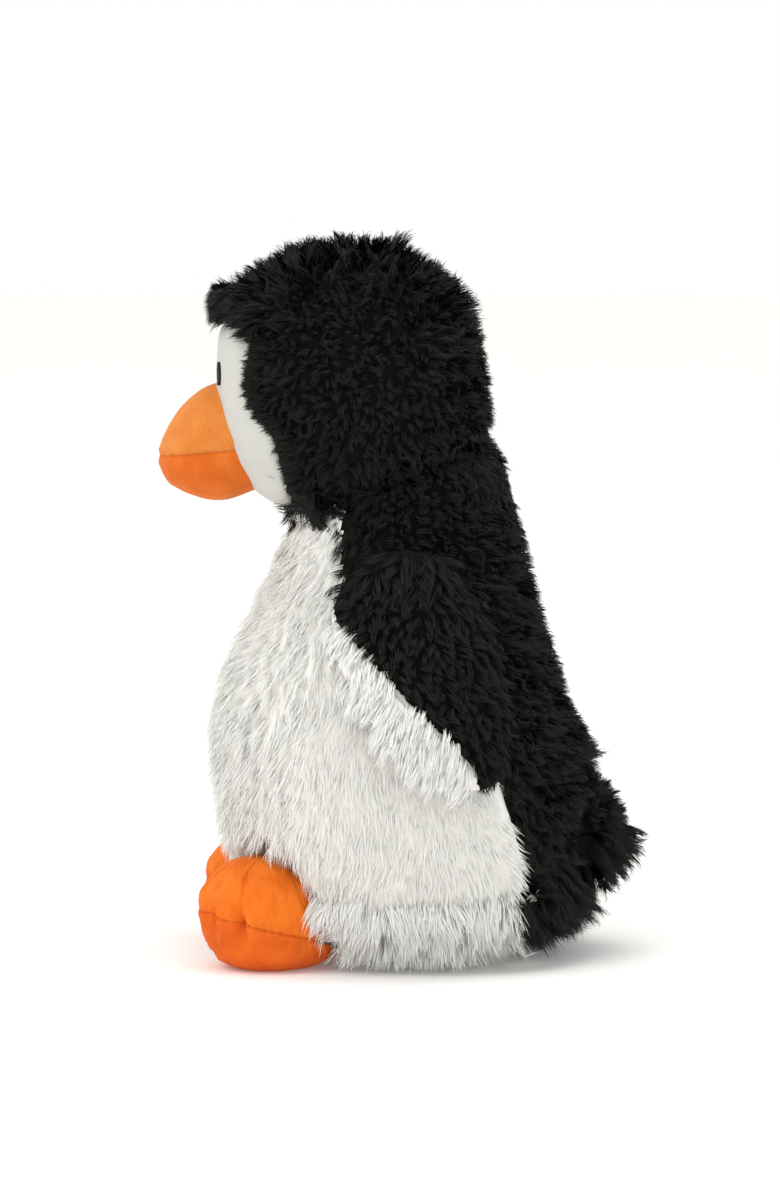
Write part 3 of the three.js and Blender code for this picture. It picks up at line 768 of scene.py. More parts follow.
TORSO_PANELS = ["belly_panel", "back_left", "back_right"]
DEEP_BELOW = 46.0  # lower than this the panels are much thicker than their pile
FEET_ZONE = (np.array([-80.0, -100.0, -5.0]), np.array([80.0, -20.0, 52.0]))
FOOT_NODES = [f"foot_{part}_{side}" for part in ("upper", "sole") for side in SIDES]
SHOULDER_FRONT, SHOULDER_LOW = -24.0, 178.0  # the belly panel's upper corner behind and above here is black
SEAM_TOP = 120.0  # higher than this the flippers cover the seam with the black back
WHITE_STRIP = 6.4  # how near to the black the white pile begins
RUMP_FRONT, RUMP_TOP = 45.0, 105.0
HEM_TUFTS, HEM_ROOTS, HEM_INSET = 1500, (8.5, 35.0), 6.5
HEM_HEIGHTS = (6.8, 6.0)  # at the lowest and the highest roots
HEM_SPLAY = 0.12
HEM_GAP = (40.0, 15.0)  # behind and below here the label hangs free

belly_tree = tree_over(["belly_panel"])
black_tree = tree_over(["back_left", "back_right"])
off_feet = keep_outside(FOOT_NODES, 1.0, FEET_ZONE)
torso = grow_panels(
    torso_core, TORSO_PANELS, torso_flow, lambda name: WHITE_PILE if name == "belly_panel" else BLACK_PILE,
    torso_height, (off_feet,), deep=DEEP_BELOW,
)


def hem_tufts():
    """The tufts that hang to the floor all round the foot of the torso, by panel."""
    turn = random.uniform(-math.pi, math.pi, HEM_TUFTS)
    height = random.uniform(*HEM_ROOTS, HEM_TUFTS)
    points, triangles, owners = node_arrays(TORSO_PANELS)
    tree = tree_of(points, triangles)
    roots, ups, which = [], [], []
    for angle, z in zip(turn, height):
        out = Vector((math.cos(angle), math.sin(angle), 0))
        place, normal, found, _ = tree.ray_cast(out * FAR_AWAY + Vector((0, 0, z)), -out)
        if place is None or place.y > HEM_GAP[0] and z < HEM_GAP[1]:
            continue
        roots.append(place - out * HEM_INSET)
        ups.append(normal + out)
        which.append(owners[found])
    roots, ups, which = np.array(roots), unit(np.array(ups) * [1, 1, 0] + [0, 0, 0.5]), np.array(which)
    parts = {}
    for n, name in enumerate(TORSO_PANELS):
        p, u = roots[which == n], ups[which == n]
        flow = unit(swirled(np.tile(DOWN, (len(p), 1)), u, p, HEM_PILE) + HEM_SPLAY * u)
        height = np.interp(p[:, 2], HEM_ROOTS, HEM_HEIGHTS) * random.uniform(0.8, 1.1, len(p))
        parts[name] = (p, u, flow, height, HEM_PILE, (off_feet,))
    return parts


hem = hem_tufts()
belly = torso["belly_panel"]
shoulder = (belly[0][:, 2] > SHOULDER_LOW) & (belly[0][:, 1] > SHOULDER_FRONT)
ahead = (distance_to(black_tree, belly[0]) > WHITE_STRIP) | (belly[0][:, 2] > SEAM_TOP)
for side, sign in SIDES.items():
    name = f"back_{side}"
    rump = (torso[name][0][:, 1] > RUMP_FRONT) & (torso[name][0][:, 2] < RUMP_TOP)
    mine = belly[0][:, 0] * sign > 0
    parts = [
        ribbons(torso[name], ~rump),
        ribbons(torso[name], rump, RUMP_PILE),
        ribbons(torso[name], rump, RUMP_PILE),
        ribbons(hem[name]),
        ribbons(belly, shoulder & mine, SHOULDER_PILE),
        ribbons(belly, shoulder & mine, SHOULDER_PILE),
    ]
    add_pile(f"{name}_pile", parts, BLACK_HAIR, "root", [name])
    hem_side = hem["belly_panel"][0][:, 0] * sign > 0
    parts = [ribbons(belly, mine & ~shoulder & ahead), ribbons(hem["belly_panel"], hem_side)]
    add_pile(f"belly_pile_{side}", parts, WHITE_HAIR, "root", ["belly_panel"])
for name in TORSO_PANELS:
    white = name == "belly_panel"
    slot, cloth, keep = ("white_plush", WHITE_CLOTH, 0.45) if white else ("black_plush", BLACK_CLOTH, 0.2)
    made = add_backing(name, torso_core, keep, "root", cloth, DEEP_BELOW)
    if white:
        made.data.materials.append(BLACK_CLOTH)
        for face in made.data.polygons:
            _, y, z = face.center / MM
            face.material_index = int(z > SHOULDER_LOW and y > SHOULDER_FRONT)


# ---- Head ----

HEAD_PANELS = ["head_side_left", "head_side_right"]
WHORL = np.array([0.0, -8.0, 331.0])
CHIN_BACK, CHIN_TOP = 2.0, 218.0
face_points, face_triangles, _ = node_arrays(["face_panel"])
face_tree = tree_of(face_points, face_triangles)
hood_tree = tree_over(HEAD_PANELS)


def head_flow(name, p, u):
    """Down from a whorl on the crown, and forward over the seam round the mask."""
    away = unit((p - WHORL) * [1, 1, 0.6])
    flow = away + 0.7 * DOWN
    near = bell(distance_to(face_tree, p), 12)[:, None]
    low = rising(p[:, 2:], 228, 218)
    forward = np.array([0.0, -1.0, -0.25]) * (1 - low) + np.array([0.0, -0.3, -1.0]) * low
    return flow * (1 - near) + forward * near * 1.4


def head_height(name, p, h):
    """Longer at the brow, the chin and the crown, and shorter at the nape."""
    x, y, z = p.T
    brow = bell(y + 68, 10) * rising(z, 284, 292) * rising(z, 312, 304)
    chin = bell(y + 46, 12) * rising(z, 222, 214)
    forehead = bell(y + 42, 10) * rising(z, 298, 304)
    crown = bell(y + 3, 7) * bell(x, 16) * rising(z, 308, 314)
    behind = rising(y, 18, 28) * bell(z - 302, 12)
    nape = rising(y, 30, 42) * bell(z - 228, 12)
    return h * (1 + 0.5 * brow + 0.3 * chin + 0.3 * forehead + 0.6 * crown + 0.4 * behind - 0.5 * nape)


head = grow_panels(head_core, HEAD_PANELS, head_flow, lambda name: HEAD_PILE, head_height, over=face_tree)


FACE_MIDDLE = np.array([0.0, -70.0, 247.0])
FRINGE_TUFTS, BROW_TUFTS, FRINGE_DEPTH = 620, 260, 5.6
FRINGE_STEP = math.radians(6)
SEAM_GAP = 1.2  # a point of the mask nearer to the hood than this is on their seam


def seam_curve():
    """The outer edge of the mask where the hood meets it, as points and the ways out, round the face."""
    inner = tree_of(head_core["points"], head_core["triangles"])
    near = face_points[distance_to(hood_tree, face_points) < SEAM_GAP]
    feet = np.array([inner.find_nearest(Vector(p))[0] for p in near])
    rise = np.linalg.norm(near - feet, axis=1)
    turn = np.arctan2(near[:, 2] - FACE_MIDDLE[2], near[:, 0])
    bins = np.floor((turn + math.pi) / FRINGE_STEP).astype(int)
    best = [np.nonzero(bins == k)[0][np.argmax(rise[bins == k])] for k in sorted(set(bins))]
    return near[best], unit(near[best] - feet[best]), turn[best]


def seam_fringe(sign):
    """Ribbons of the pile that hides the seam round the mask: swept over its edge, and a brow at the top."""
    edge, outs, turns = seam_curve()
    order = np.argsort(turns)
    turn = np.concatenate([
        random.uniform(-math.pi, math.pi, FRINGE_TUFTS), random.uniform(0.3, math.pi - 0.3, BROW_TUFTS),
    ])
    turn = turn[np.cos(turn) * sign > 0]

    def along_seam(values):
        columns = [np.interp(turn, turns[order], values[order, i], period=2 * math.pi) for i in range(3)]
        return np.stack(columns, 1)

    place, out = along_seam(edge), unit(along_seam(outs))
    inward = FACE_MIDDLE - place
    inward = unit(inward - out * (inward * out).sum(1, keepdims=True))
    z = place[:, 2]
    top = rising(z, 278, 286)
    ahead = 1.5 * bell(z - 261, 11) - 1.5 * bell(z - 281, 6)
    back = random.uniform(1.0, 5.0, len(turn)) - ahead + 3.5 * rising(z, 246, 238)
    back += 4.0 * rising(z, 216, 210)
    root = place - out * FRINGE_DEPTH - inward * back[:, None]
    flow = inward * (1 - top[:, None]) + np.array([0.0, -1.0, -0.2]) * top[:, None]
    root[:, 2] += random.uniform(-2.0, 8.5, len(root)) * top
    root[:, 1] -= 3.0 * top
    chin = z < 212
    flow[chin] = [0.0, 0.0, -1.0]
    flow[chin, 1] = -0.2 - 0.8 * rising(np.abs(place[chin, 0]), 28, 0)
    parts = []
    for pile, mine, height in (
        (FRINGE_PILE, (top < 0.5) & ~chin, 6.4), (BROW_PILE, top >= 0.5, 9.0), (CHIN_PILE, chin, 10.0),
    ):
        p, u = root[mine], out[mine]
        heights = np.full(len(p), height)
        parts.append(hair_ribbons(p, u, swirled(flow[mine], u, p, pile), heights, pile))
    return parts


for name, sign in zip(HEAD_PANELS, (1, -1)):
    chin = (head[name][0][:, 1] < CHIN_BACK) & (head[name][0][:, 2] < CHIN_TOP)
    parts = [ribbons(head[name], ~chin), ribbons(head[name], chin, CHIN_PILE), *seam_fringe(sign)]
    add_pile(f"{name}_pile", parts, BLACK_HAIR, "head", [name])
    add_backing(name, head_core, 0.2, "head", BLACK_CLOTH)


def add_face():
    """The velour mask: it sinks a little where the hood's pile stands round it."""
    face = remeshed(["face_panel"], 1.8, 14)
    inner = tree_of(head_core["points"], head_core["triangles"])
    points = face["points"]
    feet = np.array([inner.find_nearest(Vector(p))[0] for p in points])
    rise = np.linalg.norm(points - feet, axis=1)
    sunk = 0.8 + 2.6 * bell(distance_to(hood_tree, points), 7) - 0.35 * lumps(points, 16.0)
    outer = rising(rise, 3, 7)[:, None]
    points = points + unit(feet - points) * sunk[:, None] * outer
    made = add_object("face_velour_panel", points, face["faces"])
    return finish_piece(made, "head", FACE_CLOTH, ["face_panel"])


face_piece = add_face()


# ---- Neck ----


def on_neck(latitude, around):
    """Points at 1 mm from the neck's centre, by angles from the plane across its axis and round it."""
    tilt = math.atan2(-NECK_AXIS[1], NECK_AXIS[2])
    local = np.stack([
        np.cos(latitude) * np.cos(around), np.cos(latitude) * np.sin(around), np.sin(latitude),
    ], -1)
    turn = np.array([
        [1, 0, 0], [0, math.cos(tilt), -math.sin(tilt)], [0, math.sin(tilt), math.cos(tilt)],
    ])
    return local @ turn.T


NECK_COLOURS = (("black", False, BLACK_HAIR, BLACK_CLOTH), ("white", True, WHITE_HAIR, WHITE_CLOTH))
NECK_FRONT = -30.0  # ahead of here the neck is white
RUFF_TUFTS, RUFF_RANGE, BAND_RANGE = 560, (2, 34), (-6, 44)  # ranges in degrees up from the ball's middle
BAND_GAP, BAND_THICKNESS = 0.6, 0.4


def add_neck_ruff():
    """Pile on the band of the neck between torso and head, so that no gap shows as the head turns."""
    latitude = np.radians(random.uniform(*RUFF_RANGE, RUFF_TUFTS))
    around = random.uniform(0, 2 * math.pi, RUFF_TUFTS)
    ups = on_neck(latitude, around)
    roots = NECK_CENTRE + ups * NECK_RADIUS
    for name, white, hair, _ in NECK_COLOURS:
        mine = (roots[:, 1] < NECK_FRONT) == white
        p, u = roots[mine], ups[mine]
        flow = swirled(np.tile(DOWN, (len(p), 1)), u, p, BLACK_PILE)
        height = np.full(len(p), 7.0) if white else 11.5 - 5.0 * rising(p[:, 1], 10, 30)
        parts = [hair_ribbons(p, u, flow, height, BLACK_PILE)]
        add_pile(f"neck_ruff_{name}", parts, hair, "neck", ())


def add_neck_band():
    """The cloth under that pile."""
    rows, columns = 12, 96
    latitude = np.radians(np.linspace(*BAND_RANGE, rows))[:, None]
    around = np.linspace(0, 2 * math.pi, columns, endpoint=False)[None]
    ways = on_neck(*np.broadcast_arrays(latitude, around)).reshape(-1, 3)
    points = NECK_CENTRE + ways * (NECK_RADIUS + BAND_GAP)
    faces = []
    for row in range(rows - 1):
        for column in range(columns):
            after = (column + 1) % columns
            i, j = row * columns, (row + 1) * columns
            faces.append((i + column, i + after, j + after, j + column))
    front = [points[list(face), 1].mean() < NECK_FRONT for face in faces]
    for name, white, _, cloth in NECK_COLOURS:
        mine = [face for face, is_front in zip(faces, front) if is_front == white]
        used = sorted({i for face in mine for i in face})
        place = {i: n for n, i in enumerate(used)}
        made = add_object(f"neck_band_{name}", points[used], [tuple(place[i] for i in face) for face in mine])
        finish_piece(thickened(made, BAND_THICKNESS), "neck", cloth)


add_neck_ruff()
add_neck_band()


# ---- Tail ----

TAIL_HEIGHTS = {"tail_upper": 1.1, "tail_lower": 2.1}
ROOT_ZONE = (8.5, 5.0)  # where rays out of the tail's filling start and how far they look for the back
back_tree = tree_over(["back_left", "back_right", "base_panel"])


def tail_flow(name, p, u):
    return np.tile([0.0, 0.5, -1.0], (len(p), 1))


def tail_height(name, p, h):
    return h * TAIL_HEIGHTS[name]


tail = grow_panels(tail_core, ["tail_upper", "tail_lower"], tail_flow, lambda name: RUMP_PILE, tail_height)
for name, tufts in tail.items():
    p, u = tufts[0], tufts[1]
    clear = np.array([
        back_tree.ray_cast(Vector(a + b * ROOT_ZONE[0]), Vector(b), ROOT_ZONE[1])[0] is None
        for a, b in zip(p, u)
    ])
    parts = [ribbons(tufts, clear), ribbons(tufts, clear)]
    add_pile(f"{name}_pile", parts, BLACK_HAIR, "tail", [name])
    add_backing(name, tail_core, 0.2, "tail", BLACK_CLOTH)

# The cloth's own back, one skin just under the pile, so that no filling shows through a seam.
inner_cloth = add_object(
    "tail_inner_cloth", tail_core["points"] - tail_core["normals"] * 0.5, tail_core["faces"],
)
finish_piece(inner_cloth, "tail", BLACK_CLOTH)


# ---- Flippers ----

# The front edge of the flipper's black face, as heights and the y of each.
BLACK_EDGE_HEIGHTS = [84.0, 93.0, 109.0, 123.5, 139.0, 154.0, 165.0, 174.0]
BLACK_EDGE_PLACES = [35.5, 35.0, 27.0, 10.0, -6.0, -17.0, -30.0, -34.0]
RIM_TURN = 0.16  # a surface turned further than this from facing sideways is on the rim
FLIPPER_TOP = 172.0  # the outer face's pile is longer above here
LINING_TOP, LINING_BACK = 160.0, -18.0  # the lining has no pile above and behind here


def flipper_flow(name, p, u):
    y, z = p[:, 1], p[:, 2]
    if name.startswith("flipper_inner"):
        return np.tile([0.0, -0.3, -1.0], (len(p), 1))
    front = rising(y, 10, -20)
    top = rising(z, 172, 182) * front
    return np.stack([0 * y, 0.25 - 0.9 * front, -1 + 0.5 * top], 1)


def flipper_height(name, p, h):
    x, y, z = p.T
    outer = name.startswith("flipper_outer")
    away = 1.1 if outer else 1.2
    outward = np.abs(x) > np.median(np.abs(x))
    top = rising(z, 168, 182) * outer
    front = rising(y, -14, -22) * rising(z, 150, 162)
    return np.where(outward, h * away, h * 0.9) * (1 + 0.5 * top + 0.45 * front)


def flipper_choice(sign):
    """Outer panel (0) or lining (1): black behind the front edge and all round the rim, white inside."""
    def choose(p, u, which):
        edge = np.interp(p[:, 2], BLACK_EDGE_HEIGHTS, BLACK_EDGE_PLACES)
        black = (p[:, 1] > edge) | (p[:, 2] > BLACK_EDGE_HEIGHTS[-1])
        rim = np.hypot(u[:, 1], u[:, 2]) > RIM_TURN
        return np.where(black & (rim | (u[:, 0] * sign > 0)), 0, 1)

    return choose


for side, sign in SIDES.items():
    outer, inner = f"flipper_outer_{side}", f"flipper_inner_{side}"
    tufts_of = grow_panels(
        flipper_cores[side], [outer, inner], flipper_flow,
        lambda name: FLIPPER_PILE if name.startswith("flipper_outer") else LINING_PILE, flipper_height,
        choose=flipper_choice(sign),
    )
    for name, hair, cloth, slot in (
        (outer, BLACK_HAIR, BLACK_CLOTH, "black_plush"), (inner, LINING_HAIR, WHITE_CLOTH, "white_plush"),
    ):
        y, z = tufts_of[name][0][:, 1], tufts_of[name][0][:, 2]
        top = (z > FLIPPER_TOP) & (name == outer)
        hidden = (name == inner) & (z > LINING_TOP) & (y > LINING_BACK)
        parts = [ribbons(tufts_of[name], ~top & ~hidden)]
        if top.any():
            parts.append(ribbons(tufts_of[name], top, SHOULDER_PILE))
        add_pile(f"{name}_pile", parts, hair, f"flipper_{side}", [name])
        keep = 0.0 if name == outer else 0.08
        made = add_backing(name, flipper_cores[side], keep, f"flipper_{side}", cloth)
        points, _, normals = arrays_of(made.data)
        made.data.materials.append(BLACK_CLOTH)
        rim = flipper_choice(sign)(points, normals, None) == 0
        for face in made.data.polygons:
            face.material_index = int(rim[list(face.vertices)].all())


# ---- Beak ----


VELOUR_THICKNESS = 1.3
BEAK_MIDDLE = (0, -80, 232)
BEAK_FILLING = (14.0, 1.2, 0.01)  # pressure, furthest move in mm and slack
FOOT_FILLING = (12.0, 3.0, 0.05)


def section_at(table, place):
    """The table's columns at a place along its first column, on a smooth curve."""
    keys = table[:, 0]
    i = int(np.clip(np.searchsorted(keys, place) - 1, 0, len(keys) - 2))
    slopes = np.gradient(table[:, 1:], keys, axis=0)
    h = keys[i + 1] - keys[i]
    t = (place - keys[i]) / h
    a, b = table[i, 1:], table[i + 1, 1:]
    return ((2 * t**3 - 3 * t**2 + 1) * a + (t**3 - 2 * t**2 + t) * h * slopes[i]
            + (3 * t**2 - 2 * t**3) * b + (t**3 - t**2) * h * slopes[i + 1])


def mouth_at(y):
    return MOUTH_HEIGHT + MOUTH_SLOPE * (y - BEAK_TIP)


def beak_panel(sign):
    """Points and faces of the beak's upper (sign 1) or lower (sign -1) panel."""
    rows, columns = BEAK_GRID
    points = []
    for row in range(rows):
        t = row / (rows - 1)
        y = BEAK_ROOT + (BEAK_TIP - BEAK_ROOT) * math.sin(t * math.pi / 2)
        closing = max(0.0, (t - 1 + TIP_SHARE) / TIP_SHARE)
        reach = math.sqrt(max(1 - closing**2, 0.0))
        y -= TIP_SWELL * closing**2
        top, bottom, half = section_at(BEAK, max(y, BEAK_TIP))
        seam = mouth_at(y)
        middle, rise = (top + bottom) / 2, (top - bottom) / 2
        first = math.asin(np.clip((seam - middle) / rise, -MOST_SEAM, MOST_SEAM))
        last = math.pi - first if sign > 0 else -math.pi - first
        for column in range(columns):
            share = column / (columns - 1)
            turn = first + (last - first) * share
            z = middle + rise * math.sin(turn)
            points.append([reach * half * math.cos(turn), y, seam + reach * (z - seam)])
    faces = []
    for row in range(rows - 1):
        for column in range(columns - 1):
            i = row * columns + column
            quad = (i, i + 1, i + columns + 1, i + columns)
            faces.append(quad if sign > 0 else quad[::-1])
    return np.array(points), faces


def outward_faces(points, faces, middle):
    """The faces turned so that they look away from a middle."""
    triangles = np.array([face[:3] for face in faces])
    normals = vertex_normals(points, triangles)
    return faces if (normals * (points - middle)).sum() > 0 else [face[::-1] for face in faces]


def all_triangles(faces):
    return np.array([(face[0], face[i], face[i + 1]) for face in faces for i in range(1, len(face) - 1)])


def beak_held(points):
    """The beak is sewn down where it meets the face, and the mouth seam holds it a little."""
    over = points[:, 2] - mouth_at(points[:, 1])
    return rising(points[:, 1], -74, -68) + 0.3 * bell(over, 1.2)


def add_beak():
    panels = []
    for sign in (1, -1):
        points, faces = beak_panel(sign)
        panels.append((points, outward_faces(points, faces, BEAK_MIDDLE)))
    shapes = settled(panels, beak_held, *BEAK_FILLING)
    # The lower panel takes the darker copy of the velour: painted shade on the underside.
    parts = (("upper", BEAK_CLOTH), ("lower", BEAK_LOWER_SHADED_CLOTH))
    for (_, faces), points, (part, cloth) in zip(panels, shapes, parts):
        normals = vertex_normals(points, all_triangles(faces))
        over = np.abs(points[:, 2] - mouth_at(points[:, 1]))
        seam = bell(over, 1.6)
        pucker = np.sin(points[:, 1] * 1.55 + 4 * np.sign(points[:, 0])) * bell(over, 4.5)
        lump = lumps(points, 13.0, len(part)) * np.minimum(over / 8, 1)
        level = np.sign(points[:, :1]) * np.minimum(np.abs(points[:, :1]) / 6, 1) * [1, 0, 0]
        ahead = rising(points[:, 1:2], -84, -104) * [0, -1, 0]
        points = points + normals * (0.35 * lump)[:, None]
        points -= (level + ahead) * (1.0 * seam - 0.25 * pucker)[:, None]
        made = thickened(add_object(f"beak_{part}_velour", points, faces), VELOUR_THICKNESS)
        finish_piece(made, "head", cloth, [f"beak_{part}"])


add_beak()


# ---- Feet ----


def foot_panel(part):
    """Points and faces of one face of the foot's pillow, toes along +y."""
    rings, around = FOOT_GRID
    turn = np.linspace(0, 2 * math.pi, around, endpoint=False)
    points = [[0.0, 0.0, 0.0, 0.0]]
    for ring in range(1, rings + 1):
        share = math.sin(ring / rings * math.pi / 2) ** 0.9
        shares = np.full(around, share)
        points += np.stack([shares * np.cos(turn), shares * np.sin(turn), shares, turn], 1).tolist()
    a, b, share, turn = np.array(points).T
    b = FOOT_HALF_LENGTH * b
    reach = np.sqrt(np.maximum(1 - share**2.6, 0))
    slide = (b + SEAM_REACH) / (2 * SEAM_REACH)
    seam = FOOT_SEAM_BACK + (FOOT_SEAM_FRONT - FOOT_SEAM_BACK) * slide
    if part == "upper":
        height = seam + (FOOT_TOP - TOP_SLOPE + TOP_SLOPE * slide - seam) * reach
    else:
        height = np.maximum(seam - (seam + 2) * reach, 0.5)
    near_seam = bell(height - seam, np.where(height > seam, 8, 11))
    forward = np.maximum(np.sin(turn), 0)
    toes = 1 + TOE_DEPTH * near_seam * forward * np.cos(TOE_WAVES * (turn - math.pi / 2))
    points = np.stack([FOOT_HALF_WIDTH * a * toes, b * toes, height], 1)
    faces = [(0, 1 + j, 1 + (j + 1) % around) for j in range(around)]
    for ring in range(rings - 1):
        low, high = 1 + ring * around, 1 + (ring + 1) * around
        for j in range(around):
            k = (j + 1) % around
            faces.append((low + j, high + j, high + k, low + k))
    return points, faces if part == "upper" else [f[::-1] for f in faces]


# The stitches that draw the toes in: degrees round the foot from its outer side, and how deep.
PINCHES = [(36, 6.0), (64, 4.4), (90, 3.4), (115, 3.6), (140, 5.0), (162, 2.8)]


def over_seam(points):
    """How far points are above the foot's seam."""
    slide = (points[:, 1] + SEAM_REACH) / (2 * SEAM_REACH)
    return points[:, 2] - FOOT_SEAM_BACK - (FOOT_SEAM_FRONT - FOOT_SEAM_BACK) * slide


def toe_pull(points):
    """How far the stitches pull points in."""
    over = over_seam(points)
    turn = np.degrees(np.arctan2(points[:, 1], points[:, 0]))
    rim = np.clip(np.hypot(points[:, 0], points[:, 1]) / 26, 0, 1) ** 3
    drop = np.where(over > 0, 4.5, 8.0)
    pull = np.zeros(len(points))
    for degrees, depth in PINCHES:
        gap = np.radians((turn - degrees + 180) % 360 - 180) * 28
        pull += depth * rim * np.exp(-((gap / (1.9 + 0.16 * np.abs(over))) ** 2) - (over / drop) ** 2)
    return pull


def foot_held(points):
    """The stitches hold the toes in, the floor holds the sole, and the seam and filling hold the rest."""
    seam = bell(over_seam(points), 1.2)
    return 0.1 + toe_pull(points) / 3.0 + 0.25 * seam + rising(points[:, 2], 4, 1)


def add_feet():
    panels = []
    for part in ("upper", "sole"):
        points, faces = foot_panel(part)
        inward = unit(-points * [1, 1, 0])
        panels.append((points + inward * toe_pull(points)[:, None], faces))
    shapes = settled(panels, foot_held, *FOOT_FILLING)
    # The sole takes the darker copy of the velour: painted shade on the underside.
    parts = (("upper", ORANGE_CLOTH), ("sole", SOLE_SHADED_CLOTH))
    for (_, faces), points, (part, cloth) in zip(panels, shapes, parts):
        normals = vertex_normals(points, all_triangles(faces))
        over = over_seam(points)
        turn = np.arctan2(points[:, 1], points[:, 0])
        rim = np.clip(np.hypot(points[:, 0], points[:, 1]) / 28, 0, 1) ** 3
        tucked = 0.9 * bell(over, 1.5)
        pucker = 0.3 * np.sin(np.degrees(turn) * 0.9) * bell(over, 5)
        lump = 0.6 * lumps(points, 12.0, 5.0) * np.minimum(np.abs(over) / 6, 1)
        outward = np.stack([np.cos(turn), np.sin(turn), 0 * turn], 1)
        points = points + normals * lump[:, None] + outward * ((pucker - tucked) * rim)[:, None]
        points[:, 2] = np.maximum(points[:, 2], 0.4)
        for side, sign in SIDES.items():
            cos, sin = math.cos(FOOT_SPLAY), math.sin(FOOT_SPLAY)
            a, b = points[:, 0], -points[:, 1]
            x, y = a * cos - b * sin + FOOT_X, a * sin + b * cos + FOOT_Y
            placed = np.stack([sign * x, y, points[:, 2]], 1)
            turned = [f[::-1] for f in faces] if sign > 0 else faces
            made = thickened(add_object(f"foot_{part}_velour_{side}", placed, turned), VELOUR_THICKNESS)
            finish_piece(made, f"foot_{side}", cloth, [f"foot_{part}_{side}"])


add_feet()


# ---- Eyes ----


THREAD_SPACING, THREAD_RADIUS, EYE_SWELL = 0.42, 0.27, 1.15


def add_eyes():
    """Each eye is a pad of satin stitches laid across it, one thread over the other."""
    points, triangles, _ = arrays_of(face_piece.data)
    tree = tree_of(points, triangles)
    for side, sign in SIDES.items():
        threads = []
        for z in np.arange(-EYE_HALF_HEIGHT + 0.25, EYE_HALF_HEIGHT, THREAD_SPACING):
            reach = EYE_HALF_WIDTH * math.sqrt(1 - (z / EYE_HALF_HEIGHT) ** 2)
            path = []
            for share in np.linspace(-1, 1, 11):
                x = sign * EYE_X + reach * share
                hit = tree.ray_cast(Vector((x, -FAR_AWAY, EYE_Z + z)), Vector((0, 1, 0)))
                away = EYE_SWELL * math.sqrt(max(1 - share**2, 0)) - 0.1
                path.append([x, hit[0].y - away, EYE_Z + z + 0.1 * math.sin(7 * z)])
            threads.append(tube(path, THREAD_RADIUS))
        made = add_object(f"eye_stitches_{side}", *joined(threads))
        finish_piece(made, "head", EYE_THREAD, [f"eye_{side}"])


add_eyes()


# ---- Fillings, base and label ----


RIM_SHIFTS = {"body_stuffing": -9.0, "head_stuffing": 9.0}  # so that no filling shows at the neck
FILLING_LUMPS = 9.0


def add_filling(node, body, voxel, lump=0.9, inset=0.9, material=FIBRE):
    """A filling with lumps so high, lying inset under its cloth."""
    shape = remeshed([node], voxel, 4)
    away = lump * lumps(shape["points"], FILLING_LUMPS, len(node)) - inset - lump * 0.5
    points = shape["points"] + shape["normals"] * away[:, None]
    if node in RIM_SHIFTS:
        over_neck = np.linalg.norm(shape["points"] - NECK_CENTRE, axis=1) - NECK_RADIUS
        points += NECK_AXIS * (RIM_SHIFTS[node] * bell(over_neck, 12))[:, None]
    made = add_object(f"{node}_soft", points, shape["faces"])
    finish_piece(made, body, material, [node])


add_filling("body_stuffing", "root", 3.0)
add_filling("grain_pouch", "root", 2.0, 0.7, 0.3, COTTON)
add_filling("neck_stuffing", "neck", 2.5)
add_filling("head_stuffing", "head", 3.0)
add_filling("beak_stuffing", "head", 2.0, 0.5, 0.5)
add_filling("tail_stuffing", "tail", 2.0, 0.5, 2.4)
for side in SIDES:
    add_filling(f"flipper_stuffing_{side}", f"flipper_{side}", 1.6, 0.3, 0.4)
    add_filling(f"foot_stuffing_{side}", f"foot_{side}", 2.0, 0.5, 3.4)


BASE_SHARE, BASE_LOW, BASE_HIGH = 0.8, 0.3, 5.0


def add_base():
    """The cloth under the base, drawn in from the hem so that only pile shows round it."""
    shape = remeshed(["base_panel"], 2.0, 3)
    points = shape["points"] * [BASE_SHARE, BASE_SHARE, 1.0]
    points[:, 2] = np.clip(points[:, 2], BASE_LOW, BASE_HIGH)
    made = add_object("base_cloth", points, shape["faces"])
    finish_piece(made, "root", BLACK_CLOTH, ["base_panel"])


add_base()

LABEL_FOOT, LABEL_WIDTH, LABEL_LENGTH, LABEL_DROP = np.array([33.5, 53.5, 8.4]), 20.0, 12.0, 3.0
LABEL_GRID, LABEL_THICKNESS, LABEL_CURL = (13, 15), 0.35, 0.5


def add_label():
    """A blank satin tag, curving down to its free end."""
    facing = math.atan2(LABEL_FOOT[1], LABEL_FOOT[0])
    out = np.array([math.cos(facing), math.sin(facing), 0.0])
    side = np.array([-out[1], out[0], 0.0])
    rows, columns = LABEL_GRID
    points = []
    for i in range(rows):
        t = i / (rows - 1)
        for j in range(columns):
            s = j / (columns - 1) - 0.5
            curl = LABEL_CURL * math.sin(3.1 * s + 1.3) * t
            points.append(LABEL_FOOT + out * LABEL_LENGTH * t + side * LABEL_WIDTH * s
                          + np.array([0, 0, curl - LABEL_DROP * t**1.8]))
    faces = [(i * columns + j, (i + 1) * columns + j, (i + 1) * columns + j + 1, i * columns + j + 1)
             for i in range(rows - 1) for j in range(columns - 1)]
    made = thickened(add_object("label_tag", points, faces), LABEL_THICKNESS)
    finish_piece(made, "root", SATIN, ["label"])


add_label()


# ---- Floor, light and camera ----


FLOOR_REACH = 9000.0


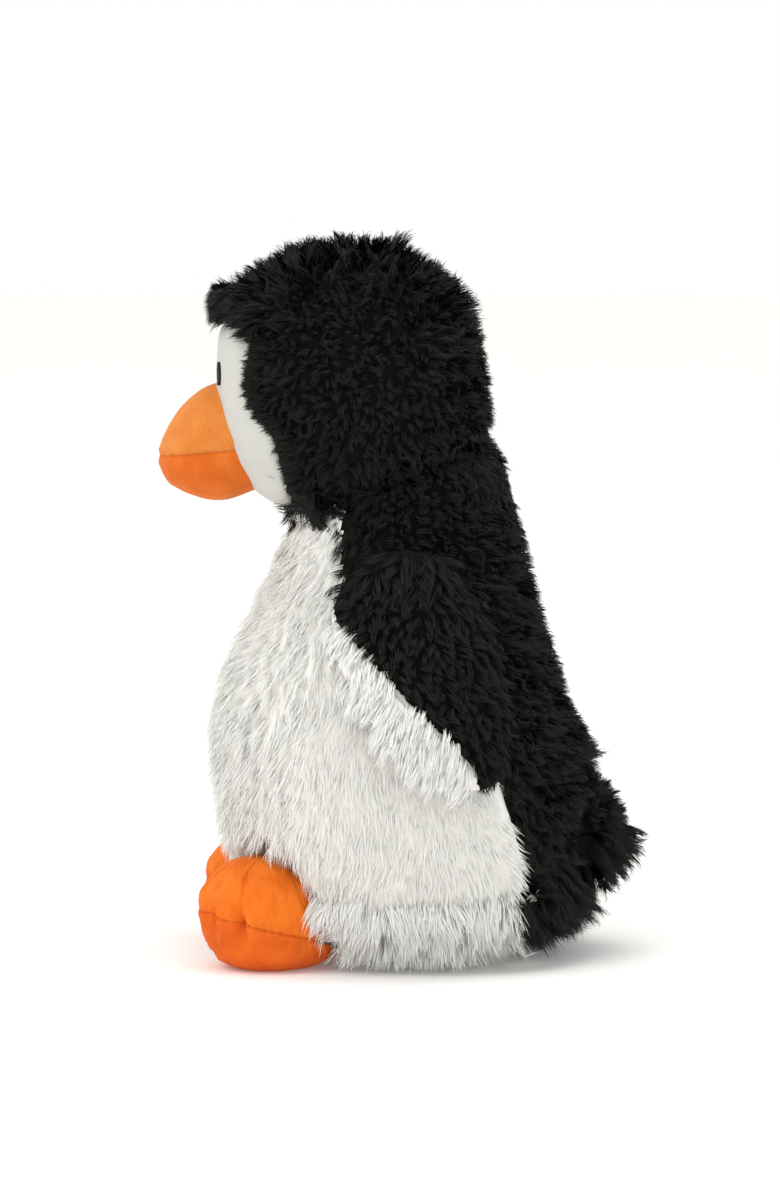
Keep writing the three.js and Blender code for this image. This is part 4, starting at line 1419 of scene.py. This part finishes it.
def add_floor():
    corners = [[x * FLOOR_REACH, y * FLOOR_REACH, 0] for x, y in ((-1, -1), (1, -1), (1, 1), (-1, 1))]
    floor = add_object("floor", corners, [(0, 1, 2, 3)])
    material, _, _, shader = new_material("floor_paper", 0.9, 0.1)
    shader.inputs["Base Color"].default_value = (0.90, 0.885, 0.86, 1)
    shader.inputs["Emission Color"].default_value = (1.0, 0.995, 0.98, 1)
    shader.inputs["Emission Strength"].default_value = 0.11
    floor.data.materials.append(material)


def add_area(name, place, aim, size, watts):
    light = bpy.data.lights.new(name, "AREA")
    light.shape, light.size, light.energy = "DISK", size, watts
    made = bpy.data.objects.new(name, light)
    bpy.context.scene.collection.objects.link(made)
    made.location = place
    made.rotation_euler = (Vector(aim) - Vector(place)).to_track_quat("-Z", "Y").to_euler()


def add_world(strength):
    world = bpy.data.worlds.new("studio")
    bpy.context.scene.world = world
    world.use_nodes = True
    background = world.node_tree.nodes["Background"]
    background.inputs["Color"].default_value = (1.0, 1.0, 1.0, 1)
    background.inputs["Strength"].default_value = strength


CAMERA_ELEVATION, CAMERA_DISTANCE, SEEN_HEIGHT, SENSOR = 5.5, 2200.0, 544.0, 36.0
CAMERA_AIM = np.array([0.0, -2.7, 162.0])


def add_camera():
    camera = bpy.data.cameras.new("camera")
    camera.sensor_width = SENSOR
    camera.lens = SENSOR * CAMERA_DISTANCE / SEEN_HEIGHT
    camera.clip_start, camera.clip_end = 0.05, 60
    made = bpy.data.objects.new("camera", camera)
    bpy.context.scene.collection.objects.link(made)
    rise = math.radians(CAMERA_ELEVATION)
    back = np.array([math.cos(rise), 0.0, math.sin(rise)])
    made.location = (CAMERA_AIM + back * CAMERA_DISTANCE) * MM
    made.rotation_euler = Vector(-back).to_track_quat("-Z", "Y").to_euler()
    bpy.context.scene.camera = made


add_floor()
add_world(1.0)
add_area("key", (1.1, -1.2, 2.0), (0, 0, 0.15), 1.2, 12)
add_area("top", (0.2, 0.3, 2.2), (0, 0, 0.1), 1.4, 12)
add_camera()
bpy.context.scene.view_settings.view_transform = "Standard"
